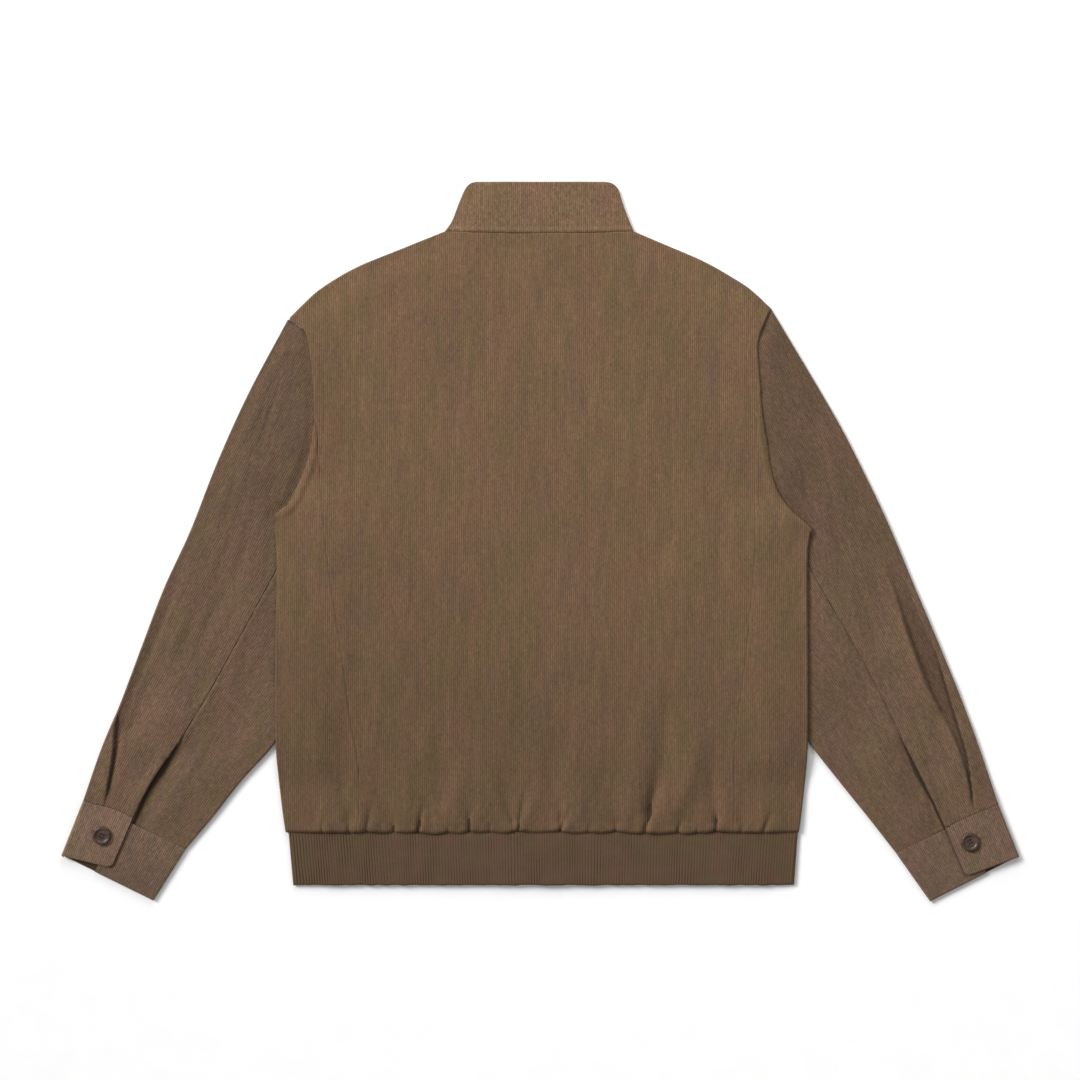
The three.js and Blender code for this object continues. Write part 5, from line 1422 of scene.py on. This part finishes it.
def tubes(name, runs, radius, sides=6):
    """Short threads, each a closed tube along its own points, in one mesh."""
    points, faces = [], []
    for run in runs:
        run = np.array(run, float)
        ahead = np.gradient(run, axis=0)
        ahead /= np.linalg.norm(ahead, axis=1, keepdims=True)
        sideways = np.cross(ahead, (0, 0, 1))
        length = np.linalg.norm(sideways, axis=1, keepdims=True)
        sideways = np.where(length > 1e-6, sideways / np.maximum(length, 1e-6), (1, 0, 0))
        upward = np.cross(sideways, ahead)
        first = len(points)
        for spot, along_side, along_up, end in zip(run, sideways, upward, range(len(run))):
            thick = radius * (0.55 if end in (0, len(run) - 1) else 1)
            for k in range(sides):
                angle = 2 * math.pi * k / sides
                points.append(spot + thick * (math.cos(angle) * along_side + math.sin(angle) * along_up))
        for ring in range(len(run) - 1):
            for k in range(sides):
                a, b = first + ring * sides, first + (ring + 1) * sides
                faces.append((a + k, a + (k + 1) % sides, b + (k + 1) % sides, b + k))
        faces.append(tuple(first + k for k in reversed(range(sides))))
        faces.append(tuple(first + (len(run) - 1) * sides + k for k in range(sides)))
    mesh = bpy.data.meshes.new(name)
    mesh.from_pydata([tuple(MM * v for v in p) for p in points], [], faces)
    mesh.polygons.foreach_set("use_smooth", np.ones(len(mesh.polygons), bool))
    return mesh


def make_button(form):
    sign = form.side["sign"]
    x, y = CUFFS[form.name]["button"]
    z = CUFF_LEVEL["tab"] + CLOTH / 2 + SEAM
    rings = np.concatenate([
        np.linspace(0.25, 4.0, 22), np.linspace(4.3, 8.6, 16), np.linspace(8.75, BUTTON_RADIUS, 8),
    ])
    under = [(BUTTON_RADIUS, 1.0), (BUTTON_RADIUS - 0.5, 0.3), (BUTTON_RADIUS - 1.2, 0.0), (4.0, 0.0)]
    mesh = disc_mesh("button", rings, 72, button_face, under)
    turn = 0.5 * sign
    moved(mesh, sign * x, y, z, turn)
    button = place(
        f"cuff_button_{form.name}_disc", mesh, button_plastic, "button", replaces=[f"cuff_button_{form.name}"]
    )
    runs = []
    for pair in (-1, 1):
        for strand in (-0.35, 0.0, 0.35):
            offset = pair * HOLE_AT * 0.707 + strand * 0.6
            along = np.linspace(-HOLE_AT * 0.707, HOLE_AT * 0.707, 7)
            lifted = 2.15 + 0.25 * (1 - (along / 1.6) ** 2) - np.where(np.abs(along) > 1.4, 0.9, 0)
            spots = [(offset, t, h) for t, h in zip(along, lifted)]
            cosine, sine = math.cos(turn), math.sin(turn)
            runs.append([
                (sign * x + cosine * px - sine * py, y + sine * px + cosine * py, z + pz)
                for px, py, pz in spots
            ])
    place(f"cuff_button_{form.name}_thread", tubes("button_thread", runs, 0.26), button_thread, "button")
    return button


def surface_height(piece, x, y):
    """Height of a piece's upper face at a place, in millimetres."""
    hit, spot, _, _ = piece.ray_cast(Vector((x * MM, y * MM, 0.1)), Vector((0, 0, -1)))
    return spot.z / MM if hit else None


STITCH = {"pitch": 3.2, "length": 2.4, "radius": 0.22}
# Short dense rows of thread that hold the head of each slit: their middles
BAR_TACKS = {"left": [(377, -209)], "right": [(373, -212.5), (385.5, -207.5)]}
SECOND_ROW = [(378.5, -190), (387.5, -206)]  # beside the right slit's head
BUTTONHOLES = {"left": ((9.6, 4.2), 11.6), "right": ((15.5, 6.2), 16.6)}  # way from the button, and its end


def thread_on(piece, start, end, crown=0.2):
    """One thread that lies on a piece's upper face and dips into it at both ends."""
    run = []
    for part, up in ((0, -0.25), (0.25, crown * 0.7), (0.5, crown), (0.75, crown * 0.7), (1, -0.25)):
        x, y = lerp(np.array(start), np.array(end), part)
        z = surface_height(piece, x, y)
        if z is None:
            return []
        run.append((x, y, z + up))
    return [run]


def sewn_along(piece, path):
    """Threads of a line of stitches along a path."""
    path = np.array(path, float)
    passed = np.concatenate([[0], np.cumsum(np.hypot(*np.diff(path, axis=0).T))])
    at = lambda s: [np.interp(s, passed, path[:, axis]) for axis in (0, 1)]
    runs = []
    for start in np.arange(0, passed[-1] - STITCH["length"], STITCH["pitch"]):
        runs += thread_on(piece, at(start), at(start + STITCH["length"]))
    return runs


def make_stitches(form, upper, cuff):
    """Topstitching beside the back seam, bar tacks at the slit and the end of the buttonhole."""
    flip = np.array([form.side["sign"], 1])
    u = np.linspace(0.17, SLIT_STARTS, 60)
    wide = np.hypot(form.outer_x(u) - form.inner_x(u), form.outer_y(u) - form.inner_y(u))
    row = form.line(u, form.seam(u) - 2.3 / wide) * flip
    runs = sewn_along(upper, row)
    if form.name == "right":
        runs += sewn_along(upper, np.array(SECOND_ROW, float) * flip)
    along = np.array([0.45, -0.89])
    for middle in BAR_TACKS[form.name]:
        for step in np.linspace(-1.8, 1.8, 7):
            spot = np.array(middle) + step * along
            half = 1.3 * np.array([0.89, 0.45])
            runs += thread_on(upper, (spot - half) * flip, (spot + half) * flip, 0.35)
    way, reach = BUTTONHOLES[form.name]
    way = np.array(way) / np.hypot(*way)
    side = np.array([-way[1], way[0]])
    button = np.array(CUFFS[form.name]["button"], float)
    for radius in np.arange(7, reach, 0.55):
        for turn in (-1, 1):
            near = button + radius * way + turn * 0.3 * side
            runs += thread_on(cuff, near * flip, (near + turn * 1.3 * side) * flip, 0.3)
    end = button + reach * way
    for angle in np.linspace(-1.2, 1.2, 5):
        out = math.cos(angle) * way + math.sin(angle) * side
        runs += thread_on(cuff, (end + 0.3 * out) * flip, (end + 1.5 * out) * flip, 0.3)
    name = f"sleeve_{form.name}_stitches"
    return place(name, tubes(name, runs, STITCH["radius"]), thread)


TEETH = {
    "from": -356.5, "to": 296, "pitch": 1.5, "half": 0.6, "bottom": 3.5, "top": 4.7, "out": 3.2, "past": 0.9,
}


def make_zip_teeth():
    """Teeth from the two sides in turn, each a block that reaches past the middle."""
    points, faces = [], []
    count = int((TEETH["to"] - TEETH["from"]) / TEETH["pitch"])
    for k in range(count):
        y = TEETH["from"] + (k + 0.5) * TEETH["pitch"]
        side = 1 if k % 2 else -1
        low, high = sorted((side * TEETH["out"], -side * TEETH["past"]))
        first = len(points)
        points += [
            (x * MM, (y + dy) * MM, z * MM)
            for z in (TEETH["bottom"], TEETH["top"])
            for dy in (-TEETH["half"], TEETH["half"])
            for x in (low, high)
        ]
        box = ((0, 2, 3, 1), (4, 5, 7, 6), (0, 1, 5, 4), (2, 6, 7, 3), (0, 4, 6, 2), (1, 3, 7, 5))
        faces += [tuple(first + corner for corner in face) for face in box]
    mesh = bpy.data.meshes.new("zip_teeth")
    mesh.from_pydata(points, [], faces)
    return place("zip_teeth", mesh, brass, "zip_metal", replaces=["zip_chain"])


def make_floor():
    mesh = bpy.data.meshes.new("floor")
    half, low = 6.0, -0.3 * MM
    corners = [(-half, -half, low), (half, -half, low), (half, half, low), (-half, half, low)]
    mesh.from_pydata(corners, [], [(0, 1, 2, 3)])
    floor = bpy.data.objects.new("floor", mesh)
    bpy.context.scene.collection.objects.link(floor)
    nodes = Nodes("pale_floor")
    grain = nodes.noise(object_place(nodes), 30)
    colour = nodes.mix(nodes.ramp(grain, 0.3, 0.7), (0.93, 0.93, 0.93), (0.95, 0.95, 0.95))
    mesh.materials.append(nodes.set(Base_Color=colour, Roughness=0.8, Specular_IOR_Level=0.1))


def area_light(name, spot, target, size, power):
    light = bpy.data.lights.new(name, "AREA")
    light.shape = "DISK"
    light.size = size
    light.energy = power
    lamp = bpy.data.objects.new(name, light)
    bpy.context.scene.collection.objects.link(lamp)
    lamp.location = spot
    lamp.rotation_euler = (Vector(target) - Vector(spot)).to_track_quat("-Z", "Y").to_euler()


FRAME_WIDTH = 1.1264  # metres that the photograph's square frame shows at the jacket
LENS = 85
SENSOR = 36


def make_camera():
    data = bpy.data.cameras.new("camera")
    data.lens = LENS
    data.sensor_width = SENSOR
    data.sensor_fit = "HORIZONTAL"
    camera = bpy.data.objects.new("camera", data)
    bpy.context.scene.collection.objects.link(camera)
    camera.location = (-0.0003, 0.0013, FRAME_WIDTH * LENS / SENSOR + 0.006)
    bpy.context.scene.camera = camera


def make_light():
    world = bpy.data.worlds.new("studio")
    world.use_nodes = True
    world.node_tree.nodes["Background"].inputs[0].default_value = (1, 1, 1, 1)
    world.node_tree.nodes["Background"].inputs[1].default_value = 0.42
    bpy.context.scene.world = world
    key = bpy.data.lights.new("key", "SUN")
    key.energy = 3.0
    key.angle = math.radians(22)
    lamp = bpy.data.objects.new("key", key)
    bpy.context.scene.collection.objects.link(lamp)
    lamp.rotation_euler = Vector((1.15, -0.85, -1.0)).to_track_quat("-Z", "Y").to_euler()
    area_light("top_light", (0.05, 1.3, 0.85), (0, 0.1, 0), 0.9, 10)
    bpy.context.scene.view_settings.view_transform = "Standard"


make_camera()
make_floor()
make_light()

back = make_back()
fronts = [make_front(side) for side in SIDES.values()]
collar = make_collar()
waistband = make_waistband()
sleeves = {name: Sleeve(name) for name in SIDES}
uppers = {name: make_sleeve_upper(form) for name, form in sleeves.items()}
unders = {name: make_sleeve_under(form) for name, form in sleeves.items()}
cuffs = {name: make_cuff(form) for name, form in sleeves.items()}
for form in sleeves.values():
    make_button(form)
bpy.context.view_layer.update()
stitches = {name: make_stitches(form, uppers[name], cuffs[name]) for name, form in sleeves.items()}
make_zip_teeth()

for node, material in (
    ("zip_tape_left", tape_cloth), ("zip_tape_right", tape_cloth),
    ("zip_slider", brass), ("zip_pull", brass),
):
    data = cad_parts[node].data
    data.materials.clear()
    data.materials.append(material)


def cut(piece, key, held, rests_on, **others):
    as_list(rests_on)


for front in fronts:
    cut(front, "front", "folded", ["floor"])
cut(back, "back", "gathered", fronts)
cut(collar, "collar", "folded", fronts)
cut(waistband, "waistband", "folded", ["floor"])
for side in SIDES:
    cut(uppers[side], "sleeve_upper", "folded", ["floor"], with_pieces=[stitches[side]])
    cut(unders[side], "sleeve_under", "folded", [uppers[side]])
    cut(cuffs[side], "cuff", "folded", ["floor"])
    cut(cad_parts[f"zip_tape_{side}"], "zip_tape", "laid", fronts)
